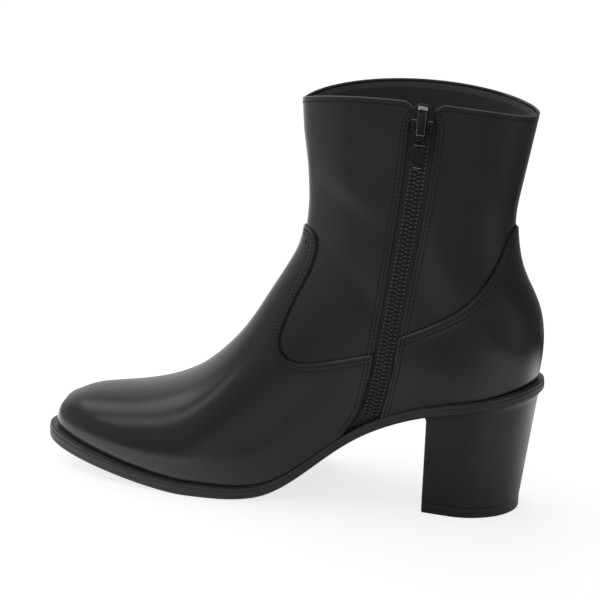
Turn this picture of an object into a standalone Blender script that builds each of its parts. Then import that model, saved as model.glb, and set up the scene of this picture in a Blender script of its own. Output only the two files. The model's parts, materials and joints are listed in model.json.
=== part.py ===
"""Right ankle boot with a block heel and an inside zip, standing on its sole.

Toe towards -X, inner side of the foot (the zip) towards -Y, +Z up. Tables and functions work in
millimetres and meshes are made in metres. The upper is one surface over the side view: sections fan out
from the sole and the heel to the front ridge, and each gives the half-width at its points.
"""

import math
from collections import namedtuple

import bpy
import numpy as np
from mathutils import Matrix, Vector

MM = 0.001

# Walls and gaps
GAP = 0.3
UPPER_WALL = 2.2
OVERLAY_WALL = 1.2
WELT_HEIGHT = 1.7
INSOLE_HEIGHT = 3.2
INSOLE_INSET = 3.5

# Sole
UPPER_TIP_X = -124.0
UPPER_HEEL_X = 116.8
TOE_CURVE_LENGTH = 105.0
HEEL_CURVE_LENGTH = 31.0
FLAT_FRONT_X = -48.0
FLAT_REAR_X = -27.0
TOE_SPRING = 11.0
TOE_SPRING_POWER = 1.3
SOLE_EDGE_ROUND = 0.9
SOLE_GROOVE_SHARE = 0.45
SOLE_GROOVE_HEIGHT = 0.9
SOLE_GROOVE_DEPTH = 0.6
SEAT_INSET = 1.0
WELT_INSET = 0.5

# Heel
BREAST_X = 70.3
BREAST_LOW_X = 69.0
BREAST_CLEAR = 2.0
HEEL_INSET = 2.3
HEEL_BOTTOM_LENGTH = 43.0
HEEL_BOTTOM_HALF_WIDTH = 26.0
HEEL_TIP_HEIGHT = 5.0
HEEL_LAYERS = 6

# Mesh fineness
ROWS = 21
REAR_COLUMNS = 8
ZIP_COLUMNS = 1
FRONT_COLUMNS = 17
TAPE_ROWS = 14
SEAM_ROWS = 6
EDGE_STEPS = 3
OVERLAY_TOP_LEVEL = 0.80
OVERLAY_FOOT_LEVEL = 0.011
CURVE_SAMPLES = 1201
HALVINGS = 46
SETTLING_STEPS = 40
SLOPE_STEP = 0.5
SNAP = 0.01

# Reach of the cutters past the boot
CUTTER_HALF_DEPTH = 70.0
CUTTER_FLOOR_Z = -20.0
CUTTER_TOE_X = -160.0
CUTTER_HEEL_X = 150.0

# Zip
TAPE_DEPTH = 1.1
TAPE_WALL = 0.8
TAPE_INSET = 1.1
TAPE_FOOT_RISE = 2.2
TAPE_HEAD_DROP = 1.0
CHAIN_FOOT_RISE = 1.0
CHAIN_WIDTH = 7.0
CHAIN_PROUD = 0.7
CHAIN_PITCH = 3.2
CHAIN_GROOVE = 0.5
SLIDER_Z = 190.0
SLIDER_SIZE = (11.0, 14.0, 3.4)
SLIDER_FOOT = -0.7
SLIDER_EDGE = 0.8
SLIDER_AIM_RISE = 3.0
CROWN_SIZE = (4.2, 13.6, 1.3)
CROWN_WINDOW = (6.0, 10.6, 1.8)
CROWN_ROOT = 1.0
CROWN_EDGE = 0.5
PULL_SIZE = (7.2, 22.0, 1.2)
PULL_WINDOW = (4.9, 5.6, 4.0)
PULL_BAR = 1.2
PULL_EDGE = 0.35
PULL_AXIS_DROP = 3.0

# Colours
BLACK_LEATHER = (0.018, 0.017, 0.018, 1.0)
BLACK_RUBBER = (0.02, 0.02, 0.021, 1.0)
BLACK_TEXTILE = (0.012, 0.012, 0.013, 1.0)
DARK_METAL = (0.06, 0.06, 0.065, 1.0)

# Sole stations: height of its side, half-widths of the upper's foot, swing of its middle, ledge round it
SoleStation = namedtuple("SoleStation", "x wall inner outer swing ledge")
SOLE = (
    SoleStation(-124.0, 7.0, 36.5, 38.5, 1.0, 5.8),
    SoleStation(-85.0, 6.6, 37.8, 38.8, 1.0, 4.4),
    SoleStation(-45.0, 6.3, 38.8, 39.6, 1.2, 3.6),
    SoleStation(-15.0, 6.0, 35.8, 38.2, 1.8, 3.2),
    SoleStation(20.0, 5.5, 28.6, 32.0, 2.4, 2.4),
    SoleStation(55.0, 5.1, 27.0, 28.0, 1.2, 2.4),
    SoleStation(90.0, 5.0, 28.6, 28.6, 0.0, 3.4),
    SoleStation(118.0, 5.4, 28.6, 28.6, 0.0, 4.6),
)

# Underside of the outsole behind the flat tread
ArchPoint = namedtuple("ArchPoint", "x z")
ARCH = (
    ArchPoint(FLAT_REAR_X, 0.0),
    ArchPoint(-16.0, 0.8),
    ArchPoint(-6.0, 3.2),
    ArchPoint(7.6, 11.3),
    ArchPoint(21.6, 22.8),
    ArchPoint(35.7, 33.4),
    ArchPoint(50.0, 41.3),
    ArchPoint(69.0, 48.6),
    ArchPoint(95.0, 54.6),
    ArchPoint(124.0, 60.6),
)

# Sections of the upper, toe to collar, each from a base on the sole (base_z None) or up the back to the
# front ridge. inner, outer: widest half-widths; skew: where the widest place lies; round: 1 is elliptical
SECTION_COLUMNS = "base_x base_z front_x front_z inner outer skew round_base round_front"
Section = namedtuple("Section", SECTION_COLUMNS)
SECTIONS = (
    Section(-124.0, None, -124.0, None, 38.5, 40.5, -0.10, 1.00, 0.90),
    Section(-121.0, None, -123.4, 24.6, 39.0, 41.0, -0.10, 1.00, 0.90),
    Section(-114.0, None, -118.6, 32.0, 39.6, 41.2, -0.10, 1.00, 0.90),
    Section(-101.0, None, -105.4, 37.6, 40.2, 41.6, -0.10, 1.00, 0.90),
    Section(-83.0, None, -86.2, 40.8, 40.8, 41.8, -0.10, 1.00, 0.92),
    Section(-63.0, None, -65.4, 46.2, 41.4, 42.2, -0.12, 1.00, 0.96),
    Section(-42.0, None, -45.6, 56.8, 41.6, 42.4, -0.14, 1.00, 1.02),
    Section(-20.0, None, -27.0, 75.5, 38.8, 41.4, -0.16, 1.00, 1.06),
    Section(8.0, None, -13.0, 97.5, 33.8, 37.6, -0.16, 1.00, 1.06),
    Section(42.0, None, -1.6, 117.0, 30.6, 33.4, -0.14, 1.00, 1.02),
    Section(80.0, None, 2.6, 130.5, 31.6, 32.2, -0.12, 1.00, 1.00),
    Section(116.8, None, 3.7, 143.0, 32.2, 32.6, -0.10, 1.00, 0.98),
    Section(118.5, 80.0, 3.5, 151.5, 32.0, 32.4, -0.09, 0.96, 0.98),
    Section(116.0, 98.8, 3.0, 159.5, 31.2, 31.6, -0.07, 0.98, 0.97),
    Section(107.4, 117.5, 2.2, 166.5, 30.6, 30.9, -0.05, 1.00, 0.97),
    Section(103.8, 139.0, 1.2, 173.5, 30.6, 30.8, -0.04, 0.99, 0.96),
    Section(106.2, 158.5, 0.4, 180.0, 31.4, 31.5, -0.03, 0.98, 0.96),
    Section(112.4, 192.2, -0.5, 193.2, 33.6, 33.6, -0.02, 0.96, 0.95),
    Section(115.0, 207.0, -1.6, 207.0, 34.6, 34.6, -0.02, 0.96, 0.95),
)
HEEL_SECTION = 11

# Collar's ends in the side view, and its rise between them
COLLAR_FRONT = (-0.5, 193.2)
COLLAR_BACK = (112.4, 192.2)
COLLAR_ARCH = 7.4
COLLAR_ARCH_LEAD = 0.85
COLLAR_ARCH_POWER = 0.85

# Zip line down the inner side
ZipPoint = namedtuple("ZipPoint", "z x width")
ZIP = (
    ZipPoint(40.0, 41.0, 9.4),
    ZipPoint(60.0, 46.8, 9.8),
    ZipPoint(78.0, 50.0, 10.5),
    ZipPoint(120.0, 56.0, 11.8),
    ZipPoint(170.0, 62.6, 12.6),
    ZipPoint(202.0, 65.4, 12.6),
)

# Edges in the side view: of the vamp over the shaft, ridge to zip, and of the counter, zip to back
EdgePoint = namedtuple("EdgePoint", "x z")
VAMP_EDGE = (
    EdgePoint(-14.0, 129.0),
    EdgePoint(-1.0, 130.5),
    EdgePoint(6.0, 131.2),
    EdgePoint(10.6, 129.0),
    EdgePoint(11.6, 122.5),
    EdgePoint(7.2, 109.0),
    EdgePoint(0.4, 94.5),
    EdgePoint(-3.4, 83.0),
    EdgePoint(-3.8, 75.5),
    EdgePoint(0.3, 70.6),
    EdgePoint(8.0, 68.8),
    EdgePoint(22.0, 71.2),
    EdgePoint(40.0, 76.4),
    EdgePoint(52.0, 80.0),
)
COUNTER_EDGE = (
    EdgePoint(50.0, 84.6),
    EdgePoint(60.0, 88.9),
    EdgePoint(76.0, 97.0),
    EdgePoint(88.0, 105.2),
    EdgePoint(95.6, 115.2),
    EdgePoint(100.4, 127.5),
    EdgePoint(104.8, 140.0),
    EdgePoint(116.0, 148.0),
)
SIDE_SEAM_TOP_Z = 77.5


def natural_spline(stations, values):
    """A curve without kinks through the values, held at its ends beyond them."""
    x = np.asarray(stations, float)
    y = np.asarray(values, float)
    step = np.diff(x)
    matrix = np.eye(len(x))
    right = np.zeros(len(x))
    for i in range(1, len(x) - 1):
        matrix[i, i - 1 : i + 2] = step[i - 1], 2 * (step[i - 1] + step[i]), step[i]
        right[i] = 6 * ((y[i + 1] - y[i]) / step[i] - (y[i] - y[i - 1]) / step[i - 1])
    bend = np.linalg.solve(matrix, right)

    def at(where):
        where = np.clip(where, x[0], x[-1])
        i = np.clip(np.searchsorted(x, where) - 1, 0, len(x) - 2)
        h = step[i]
        a = (x[i + 1] - where) / h
        b = 1 - a
        curve = (a**3 - a) * bend[i] + (b**3 - b) * bend[i + 1]
        return a * y[i] + b * y[i + 1] + curve * h * h / 6

    return at


def column(table, name, stations=None):
    """One named column of a table as a smooth curve over its first column or the given stations."""
    where = [row[0] for row in table] if stations is None else stations
    return natural_spline(where, [getattr(row, name) for row in table])


sole_wall = column(SOLE, "wall")
sole_inner = column(SOLE, "inner")
sole_outer = column(SOLE, "outer")
sole_swing = column(SOLE, "swing")
sole_ledge = column(SOLE, "ledge")
arch = column(ARCH, "z")
zip_x = column(ZIP, "x")
zip_width = column(ZIP, "width")


def tread(x):
    """Height of the outsole's underside: toe spring, flat tread, then the arch up to the heel seat."""
    x = np.asarray(x, float)
    ahead = np.clip((FLAT_FRONT_X - x) / (FLAT_FRONT_X - UPPER_TIP_X), 0, None)
    return np.where(x < FLAT_FRONT_X, TOE_SPRING * ahead**TOE_SPRING_POWER, np.maximum(arch(x), 0))


def rim(x):
    """Height of the top of the sole."""
    return tread(x) + sole_wall(x)


def outsole_rim(x):
    """Height of the outsole's ledge, under the welt."""
    return rim(x) - WELT_HEIGHT - GAP


def outsole_groove(x):
    """Height of the middle of the groove along the outsole's side."""
    return tread(x) + SOLE_GROOVE_SHARE * sole_wall(x)


def foot(x):
    """Height of the upper's lower edge."""
    return rim(x) + GAP


def rounded_end(x, end, length):
    """Share of the full width left towards a rounded end."""
    inside = np.clip(1 - np.abs(x - end) / length, 0, 1)
    return np.sqrt(np.clip(1 - inside**2, 0, 1))


def toe_round(x):
    return rounded_end(np.minimum(x, UPPER_TIP_X + TOE_CURVE_LENGTH), UPPER_TIP_X, TOE_CURVE_LENGTH)


def heel_round(x):
    return rounded_end(np.maximum(x, UPPER_HEEL_X - HEEL_CURVE_LENGTH), UPPER_HEEL_X, HEEL_CURVE_LENGTH)


STATIONS = np.arange(len(SECTIONS), dtype=float)
BASE_Z = [foot(row.base_x) if row.base_z is None else row.base_z for row in SECTIONS]
FRONT_Z = [foot(row.front_x) if row.front_z is None else row.front_z for row in SECTIONS]
BASE_X = [row.base_x for row in SECTIONS]
foot_x = natural_spline(STATIONS[: HEEL_SECTION + 1], BASE_X[: HEEL_SECTION + 1])
back_x = natural_spline(STATIONS[HEEL_SECTION:], BASE_X[HEEL_SECTION:])
back_z = natural_spline(STATIONS[HEEL_SECTION:], BASE_Z[HEEL_SECTION:])
front_x = column(SECTIONS, "front_x", STATIONS)
front_z = natural_spline(STATIONS, FRONT_Z)
section_inner = column(SECTIONS, "inner", STATIONS)
section_outer = column(SECTIONS, "outer", STATIONS)
section_skew = column(SECTIONS, "skew", STATIONS)
section_round_base = column(SECTIONS, "round_base", STATIONS)
section_round_front = column(SECTIONS, "round_front", STATIONS)


def base_point(k):
    """The end of section k on the sole's rim or, past the heel, on the back of the boot."""
    k = np.asarray(k, float)
    x = np.where(k < HEEL_SECTION, np.clip(foot_x(k), UPPER_TIP_X, UPPER_HEEL_X), back_x(k))
    return x, np.where(k < HEEL_SECTION, foot(x), back_z(k))


def section_through(x, z):
    """(section number, share of the way from base to front) of the section through a side-view point."""
    low = np.full(np.shape(x), 1e-4)
    high = np.full(np.shape(x), STATIONS[-1])
    for _ in range(HALVINGS):
        k = (low + high) / 2
        bx, bz = base_point(k)
        dx = front_x(k) - bx
        dz = front_z(k) - bz
        ahead = dz * (x - bx) - dx * (z - bz) > 0
        low = np.where(ahead, k, low)
        high = np.where(ahead, high, k)
    k = (low + high) / 2
    bx, bz = base_point(k)
    dx = front_x(k) - bx
    dz = front_z(k) - bz
    share = ((x - bx) * dx + (z - bz) * dz) / np.maximum(dx * dx + dz * dz, 1e-9)
    return k, np.clip(share, 0, 1)


def half_width(k, share, widest, at_foot):
    """Half-width of section k a share of the way up it, from at_foot at its base to 0 at the ridge."""
    skew = section_skew(k)
    base_power = section_round_base(k)
    front_power = section_round_front(k)
    start_sine = np.clip(at_foot / np.maximum(widest, 1e-6), 0, 0.999) ** (1 / base_power)
    start_cosine = np.sqrt(1 - start_sine**2)
    start = (1 - start_cosine) / 2 + skew * start_sine**2
    run = start + share * (1 - start)
    rest = run - 0.5 - skew
    cosine = np.clip(-2 * rest / (0.5 + np.sqrt(np.maximum(0.25 - 4 * skew * rest, 0))), -1, 1)
    power = base_power + (front_power - base_power) * (1 - cosine) / 2
    return widest * np.sqrt(1 - cosine**2) ** power


def side_y(x, z, side):
    """Y of the upper's outside at a side-view point: side -1 is the inner side of the foot, +1 the outer."""
    k, share = section_through(x, z)
    bx, _ = base_point(k)
    on_foot = k < HEEL_SECTION
    foot_widths = sole_inner(bx) if side < 0 else sole_outer(bx)
    at_foot = np.where(on_foot, foot_widths * toe_round(bx) * heel_round(bx), 0.0)
    widest = (section_inner(k) if side < 0 else section_outer(k)) * toe_round(bx)
    swing = np.where(on_foot, sole_swing(bx), 0.0)
    return swing + side * half_width(k, share, widest, at_foot)


def collar_z(x):
    """Height of the collar: low at the front and back, arched over the sides."""
    share = np.clip((x - COLLAR_FRONT[0]) / (COLLAR_BACK[0] - COLLAR_FRONT[0]), 0, 1)
    peaked = share**COLLAR_ARCH_LEAD
    arched = COLLAR_ARCH * (4 * peaked * (1 - peaked)) ** COLLAR_ARCH_POWER
    return COLLAR_FRONT[1] + share * (COLLAR_BACK[1] - COLLAR_FRONT[1]) + arched


def level_z(x, level):
    """Height at x of the line a share `level` of the way from the sole to the collar."""
    return foot(x) + level * (collar_z(x) - foot(x))


def level_of(x, z):
    return (z - foot(x)) / (collar_z(x) - foot(x))


RIDGE_K = np.linspace(0, STATIONS[-1], CURVE_SAMPLES)
RIDGE_X = front_x(RIDGE_K)
RIDGE_LEVEL = np.maximum.accumulate(level_of(RIDGE_X, front_z(RIDGE_K)))
BACK_K = np.linspace(HEEL_SECTION, STATIONS[-1], CURVE_SAMPLES)
BACK_X = back_x(BACK_K)
BACK_LEVEL = np.maximum.accumulate(level_of(BACK_X, back_z(BACK_K)))


def even_levels(count):
    """Levels evenly spaced along the front ridge."""
    steps = np.hypot(np.diff(RIDGE_X), np.diff(front_z(RIDGE_K)))
    travel = np.concatenate([[0], np.cumsum(steps)])
    collar = np.interp(1.0, RIDGE_LEVEL, travel)
    return np.interp(np.linspace(0, collar, count + 1), travel, RIDGE_LEVEL)


def zip_edges(level):
    """X of the zip slit's front and rear edges at a level."""
    x = np.full(np.shape(level), ZIP[-1].x)
    for _ in range(SETTLING_STEPS):
        x = zip_x(level_z(x, level))
    half = zip_width(level_z(x, level)) / 2
    return x - half, x + half


def round_trip(level):
    """X of the columns at one level, back to front: cosine-spaced, with columns on the zip's edges."""
    back = np.interp(level, BACK_LEVEL, BACK_X)
    front = np.interp(level, RIDGE_LEVEL, RIDGE_X)
    turn = [math.acos(1 - 2 * (x - back) / (front - back)) / math.pi for x in zip_edges(level)]
    turns = np.concatenate(
        [
            np.linspace(0, turn[1], REAR_COLUMNS + 1)[:-1],
            np.linspace(turn[1], turn[0], ZIP_COLUMNS + 1)[:-1],
            np.linspace(turn[0], 1, FRONT_COLUMNS + 1),
        ]
    )
    return back + (front - back) * (1 - np.cos(math.pi * turns)) / 2


def upper_rows(levels):
    """Closed rows of points on the upper's outside: front ridge, inner side, back, outer side."""
    rows = []
    for level in levels:
        x = round_trip(level)
        z = level_z(x, level)
        inner = np.stack([x, side_y(x, z, -1), z], axis=1)[::-1]
        outer = np.stack([x, side_y(x, z, 1), z], axis=1)[1:-1]
        rows.append(np.concatenate([inner, outer]))
    return np.array(rows)


def outward(rows):
    """Unit normals of closed rows of points."""
    along = np.roll(rows, -1, axis=1) - np.roll(rows, 1, axis=1)
    up = np.gradient(rows, axis=0)
    normal = np.cross(along, up)
    return normal / np.linalg.norm(normal, axis=2, keepdims=True)


def add_mesh(name, points, faces, material):
    mesh = bpy.data.meshes.new(name)
    mesh.from_pydata((np.asarray(points).reshape(-1, 3) * MM).tolist(), [], faces)
    mesh.validate()
    obj = bpy.data.objects.new(name, mesh)
    PARTS.objects.link(obj)
    obj.data.materials.append(material)
    obj.parent = ROOT
    return obj


def add_cutter(name, points, faces):
    mesh = bpy.data.meshes.new(name)
    mesh.from_pydata((np.asarray(points).reshape(-1, 3) * MM).tolist(), [], faces)
    obj = bpy.data.objects.new(name, mesh)
    CUTTERS.objects.link(obj)
    obj.hide_render = True
    obj.display_type = "WIRE"
    obj.parent = ROOT
    return obj


def thicken(obj, wall, outwards):
    solid = obj.modifiers.new("wall", "SOLIDIFY")
    solid.thickness = wall * MM
    solid.offset = 1.0 if outwards else -1.0
    solid.use_even_offset = True


def boolean(obj, cutter, operation):
    cut = obj.modifiers.new(operation.lower(), "BOOLEAN")
    cut.object = cutter
    cut.operation = operation
    cut.solver = "EXACT"


def material(name, colour, roughness, metallic=0.0):
    made = bpy.data.materials.new(name)
    made.use_nodes = True
    shader = made.node_tree.nodes["Principled BSDF"]
    shader.inputs["Base Color"].default_value = colour
    shader.inputs["Roughness"].default_value = roughness
    shader.inputs["Metallic"].default_value = metallic
    return made


def grid_faces(rows, columns, closed, skip=()):
    """Quads of a grid of points, with the columns in `skip` left open."""
    faces = []
    for r in range(rows - 1):
        for c in range(columns if closed else columns - 1):
            if c in skip:
                continue
            d = (c + 1) % columns
            low, high = r * columns, (r + 1) * columns
            faces.append((low + c, low + d, high + d, high + c))
    return faces


def ladder_faces(first, count, upward):
    """Faces across a closed loop whose point i lies across from point count - i."""
    faces = []
    for i in range(count // 2):
        a, b = first + i, first + i + 1
        c, d = first + (count - i - 1) % count, first + (count - i) % count
        quad = list(dict.fromkeys((a, b, c, d)))
        faces.append(tuple(quad if upward else quad[::-1]))
    return faces


def loft(name, loops, made_of):
    """Closed body through loops, bottom first, each from the toe along the inner side and back."""
    count = len(loops[0])
    faces = grid_faces(len(loops), count, True)
    faces += ladder_faces(0, count, False)
    faces += ladder_faces((len(loops) - 1) * count, count, True)
    return add_mesh(name, np.concatenate(loops), faces, made_of)


def foot_loop(reach, height):
    """Loop `reach` outside the upper's lower edge, at the heights of a function of x."""
    plan = FOOT_PLAN
    along = np.roll(plan, -1, axis=0) - np.roll(plan, 1, axis=0)
    normal = np.stack([along[:, 1], -along[:, 0]], axis=1)
    normal /= np.linalg.norm(normal, axis=1, keepdims=True)
    moved = plan + normal * np.broadcast_to(reach, len(plan))[:, None]
    return np.column_stack([moved, height(moved[:, 0])])


def heel_loop(share, top, low_z):
    """D-shaped loop of the heel, a share of the way from its seat to low_z."""
    length = top[:, 0].max() - BREAST_X
    width = np.abs(top[:, 1]).max()
    low = top.copy()
    low[:, 0] = BREAST_LOW_X + (top[:, 0] - BREAST_X) * HEEL_BOTTOM_LENGTH / length
    low[:, 1] = top[:, 1] * HEEL_BOTTOM_HALF_WIDTH / width
    low[:, 2] = low_z
    return top + (low - top) * share


def heel_top():
    """Loop of the heel's seat, from the breast's inner corner round the back to its outer corner."""
    edge = foot_loop(sole_ledge(FOOT_PLAN[:, 0]) - HEEL_INSET, lambda x: tread(x) - GAP)
    behind = np.flatnonzero(edge[:, 0] > BREAST_X + BREAST_CLEAR)
    corners = []
    for kept, outside in ((behind[0], behind[0] - 1), (behind[-1], behind[-1] + 1)):
        share = (BREAST_X - edge[outside, 0]) / (edge[kept, 0] - edge[outside, 0])
        corners.append(edge[outside] + share * (edge[kept] - edge[outside]))
    return np.concatenate([[corners[0]], edge[behind], [corners[1]]])


def d_faces(first, count, upward):
    """Faces across a D-shaped loop whose point i lies across from point count - 1 - i."""
    faces = []
    for i in range(count // 2):
        across = first + count - 1 - i
        quad = list(dict.fromkeys((first + i, first + i + 1, across - 1, across)))
        if len(quad) > 2:
            faces.append(tuple(quad if upward else quad[::-1]))
    return faces


def d_loft(name, loops, made_of):
    count = len(loops[0])
    faces = grid_faces(len(loops), count, True)
    faces += d_faces(0, count, False)
    faces += d_faces((len(loops) - 1) * count, count, True)
    return add_mesh(name, np.concatenate(loops), faces, made_of)


def prism(name, outline):
    """Cutter: a side-view outline carried right across the boot."""
    count = len(outline)
    points = [(x, y, z) for y in (-CUTTER_HALF_DEPTH, CUTTER_HALF_DEPTH) for x, z in outline]
    faces = [(i, (i + 1) % count, (i + 1) % count + count, i + count) for i in range(count)]
    faces += [tuple(range(count))[::-1], tuple(range(count, 2 * count))]
    area = sum(
        outline[i][0] * outline[(i + 1) % count][1] - outline[(i + 1) % count][0] * outline[i][1]
        for i in range(count)
    )
    if area > 0:
        faces = [face[::-1] for face in faces]
    return add_cutter(name, points, faces)


def smooth_edge(table):
    """A table's edge line as a smooth row of side-view points."""
    travel = np.concatenate([[0], np.cumsum(np.hypot(*np.diff(np.array(table), axis=0).T))])
    where = np.concatenate([np.linspace(a, b, EDGE_STEPS + 1)[:-1] for a, b in zip(travel, travel[1:])])
    where = np.append(where, travel[-1])
    xs = natural_spline(travel, [row.x for row in table])(where)
    zs = natural_spline(travel, [row.z for row in table])(where)
    return list(zip(xs.tolist(), zs.tolist()))


def medial(x, z, lift):
    """Point `lift` outside the upper on its inner side, and the way out there."""
    step = SLOPE_STEP
    slope_x = (side_y(x + step, z, -1) - side_y(x - step, z, -1)) / (2 * step)
    slope_z = (side_y(x, z + step, -1) - side_y(x, z - step, -1)) / (2 * step)
    way = np.stack([slope_x, -np.ones_like(slope_x), slope_z], axis=-1)
    way /= np.linalg.norm(way, axis=-1, keepdims=True)
    point = np.stack([x, side_y(x, z, -1), z], axis=-1)
    return point + way * np.asarray(lift)[..., None], way


def zip_strip(name, heights, half_widths, lifts, wall, made_of):
    """Strip along the zip: a row of points across it at each height, thickened outwards."""
    across = np.array([-1.0, 0.0, 1.0])
    rows = []
    for z, half, lift in zip(heights, half_widths, lifts):
        x = zip_x(z) + across * half
        rows.append(medial(x, np.full(3, z), np.full(3, lift))[0])
    strip = add_mesh(name, np.array(rows), grid_faces(len(rows), 3, False), made_of)
    thicken(strip, wall, True)
    return strip


def box(name, size, centre, made_of=None):
    """Box of a size about a centre: a part, or a cutter where no material is given."""
    half = np.array(size) / 2
    corners = [(x, y, z) for z in (-1, 1) for y in (-1, 1) for x in (-1, 1)]
    points = np.array(corners) * half + np.array(centre)
    faces = [(0, 2, 3, 1), (4, 5, 7, 6), (0, 1, 5, 4), (2, 6, 7, 3), (0, 4, 6, 2), (1, 3, 7, 5)]
    if made_of is None:
        return add_cutter(name, points, faces)
    return add_mesh(name, points, faces, made_of)


def bevel(obj, width, segments):
    edge = obj.modifiers.new("edge", "BEVEL")
    edge.width = width * MM
    edge.segments = segments
    edge.limit_method = "ANGLE"


for old in list(bpy.data.objects):
    bpy.data.objects.remove(old, do_unlink=True)
PARTS = bpy.data.collections.new("ankle_boot")
CUTTERS = bpy.data.collections.new("cutters")
bpy.context.scene.collection.children.link(PARTS)
bpy.context.scene.collection.children.link(CUTTERS)
ROOT = bpy.data.objects.new("boot_frame", None)
PARTS.objects.link(ROOT)

leather = material("upper_leather", BLACK_LEATHER, 0.35)
vamp_leather = material("vamp_leather", BLACK_LEATHER, 0.3)
counter_leather = material("counter_leather", BLACK_LEATHER, 0.3)
rubber = material("sole_rubber", BLACK_RUBBER, 0.45)
welt_rubber = material("welt_rubber", BLACK_RUBBER, 0.2)
heel_cover = material("heel_cover", BLACK_RUBBER, 0.35)
tip_rubber = material("heel_tip_rubber", BLACK_RUBBER, 0.6)
lining = material("insole_lining", BLACK_TEXTILE, 0.9)
tape_cloth = material("tape_cloth", BLACK_TEXTILE, 0.9)
chain_nylon = material("chain_nylon", BLACK_TEXTILE, 0.5)
slider_metal = material("slider_metal", DARK_METAL, 0.3, 1.0)
pull_metal = material("pull_metal", DARK_METAL, 0.3, 1.0)

# Upper: one wall, open at the collar, underneath and along the zip
LEVELS = even_levels(ROWS)
OUTSIDE = upper_rows(LEVELS)
NORMALS = outward(OUTSIDE)
COLUMNS = OUTSIDE.shape[1]
SLIT = range(FRONT_COLUMNS, FRONT_COLUMNS + ZIP_COLUMNS)
FOOT_PLAN = OUTSIDE[0, :, :2]
upper = add_mesh("upper", OUTSIDE, grid_faces(ROWS + 1, COLUMNS, True, SLIT), leather)
thicken(upper, UPPER_WALL, False)

# Vamp and counter: shells over the upper, cut to their edges
top_row = int(np.searchsorted(LEVELS, OVERLAY_TOP_LEVEL))
over = OUTSIDE + NORMALS * GAP
over_foot = over[:1] + (over[1:2] - over[:1]) * OVERLAY_FOOT_LEVEL / LEVELS[1]
over = np.concatenate([over_foot, over[1 : top_row + 1]])
over_faces = grid_faces(len(over), COLUMNS, True, SLIT)
vamp = add_mesh("vamp", over, over_faces, vamp_leather)
thicken(vamp, OVERLAY_WALL, True)
counter = add_mesh("counter", over, over_faces, counter_leather)
thicken(counter, OVERLAY_WALL, True)

seam_z = np.linspace(ZIP[0].z, SIDE_SEAM_TOP_Z, SEAM_ROWS)
side_seam = list(zip(zip_x(seam_z).tolist(), seam_z.tolist()))
vamp_line = [point for point in smooth_edge(VAMP_EDGE) if point[0] < zip_x(point[1])]
counter_line = [point for point in smooth_edge(COUNTER_EDGE) if point[0] > zip_x(point[1])]
vamp_outline = vamp_line + side_seam[::-1] + [(side_seam[0][0], CUTTER_FLOOR_Z)]
vamp_outline += [(CUTTER_TOE_X, CUTTER_FLOOR_Z), (CUTTER_TOE_X, VAMP_EDGE[0].z)]
vamp_zone = prism("vamp_zone", vamp_outline)
counter_outline = counter_line + [(CUTTER_HEEL_X, COUNTER_EDGE[-1].z), (CUTTER_HEEL_X, CUTTER_FLOOR_Z)]
counter_outline += [(side_seam[0][0] + GAP, CUTTER_FLOOR_Z)]
counter_outline += [(x + GAP, z) for x, z in side_seam]
counter_zone = prism("counter_zone", counter_outline)
boolean(vamp, vamp_zone, "INTERSECT")
boolean(counter, counter_zone, "INTERSECT")

# Outsole, welt and insole
ledge = sole_ledge(FOOT_PLAN[:, 0])
outsole = loft(
    "outsole",
    [
        foot_loop(ledge - SOLE_EDGE_ROUND, tread),
        foot_loop(ledge, lambda x: tread(x) + SOLE_EDGE_ROUND),
        foot_loop(ledge, lambda x: outsole_groove(x) - SOLE_GROOVE_HEIGHT / 2),
        foot_loop(ledge - SOLE_GROOVE_DEPTH, outsole_groove),
        foot_loop(ledge, lambda x: outsole_groove(x) + SOLE_GROOVE_HEIGHT / 2),
        foot_loop(ledge, outsole_rim),
        foot_loop(-SEAT_INSET, outsole_rim),
        foot_loop(-SEAT_INSET - GAP, rim),
    ],
    rubber,
)
ring = [
    foot_loop(ledge - WELT_INSET, lambda x: outsole_rim(x) + GAP),
    foot_loop(ledge - WELT_INSET, rim),
    foot_loop(GAP - SEAT_INSET, rim),
    foot_loop(GAP - SEAT_INSET, lambda x: outsole_rim(x) + GAP),
]
ring_faces = grid_faces(len(ring) + 1, COLUMNS, True)
welt = add_mesh("welt", np.concatenate(ring + ring[:1]), ring_faces, welt_rubber)
weld = welt.modifiers.new("join", "WELD")
weld.merge_threshold = SNAP * MM
insole = loft(
    "insole",
    [
        foot_loop(-INSOLE_INSET, foot),
        foot_loop(-INSOLE_INSET, lambda x: foot(x) + INSOLE_HEIGHT),
    ],
    lining,
)

# Heel and its top piece
seat = heel_top()
shares = np.linspace(1, 0, HEEL_LAYERS + 1)
heel = d_loft("heel", [heel_loop(share, seat, HEEL_TIP_HEIGHT + GAP) for share in shares], heel_cover)
sole_print = heel_loop(1.0, seat, 0.0)
heel_tip = d_loft("heel_tip", [sole_print, sole_print + [0, 0, HEEL_TIP_HEIGHT]], tip_rubber)

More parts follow.
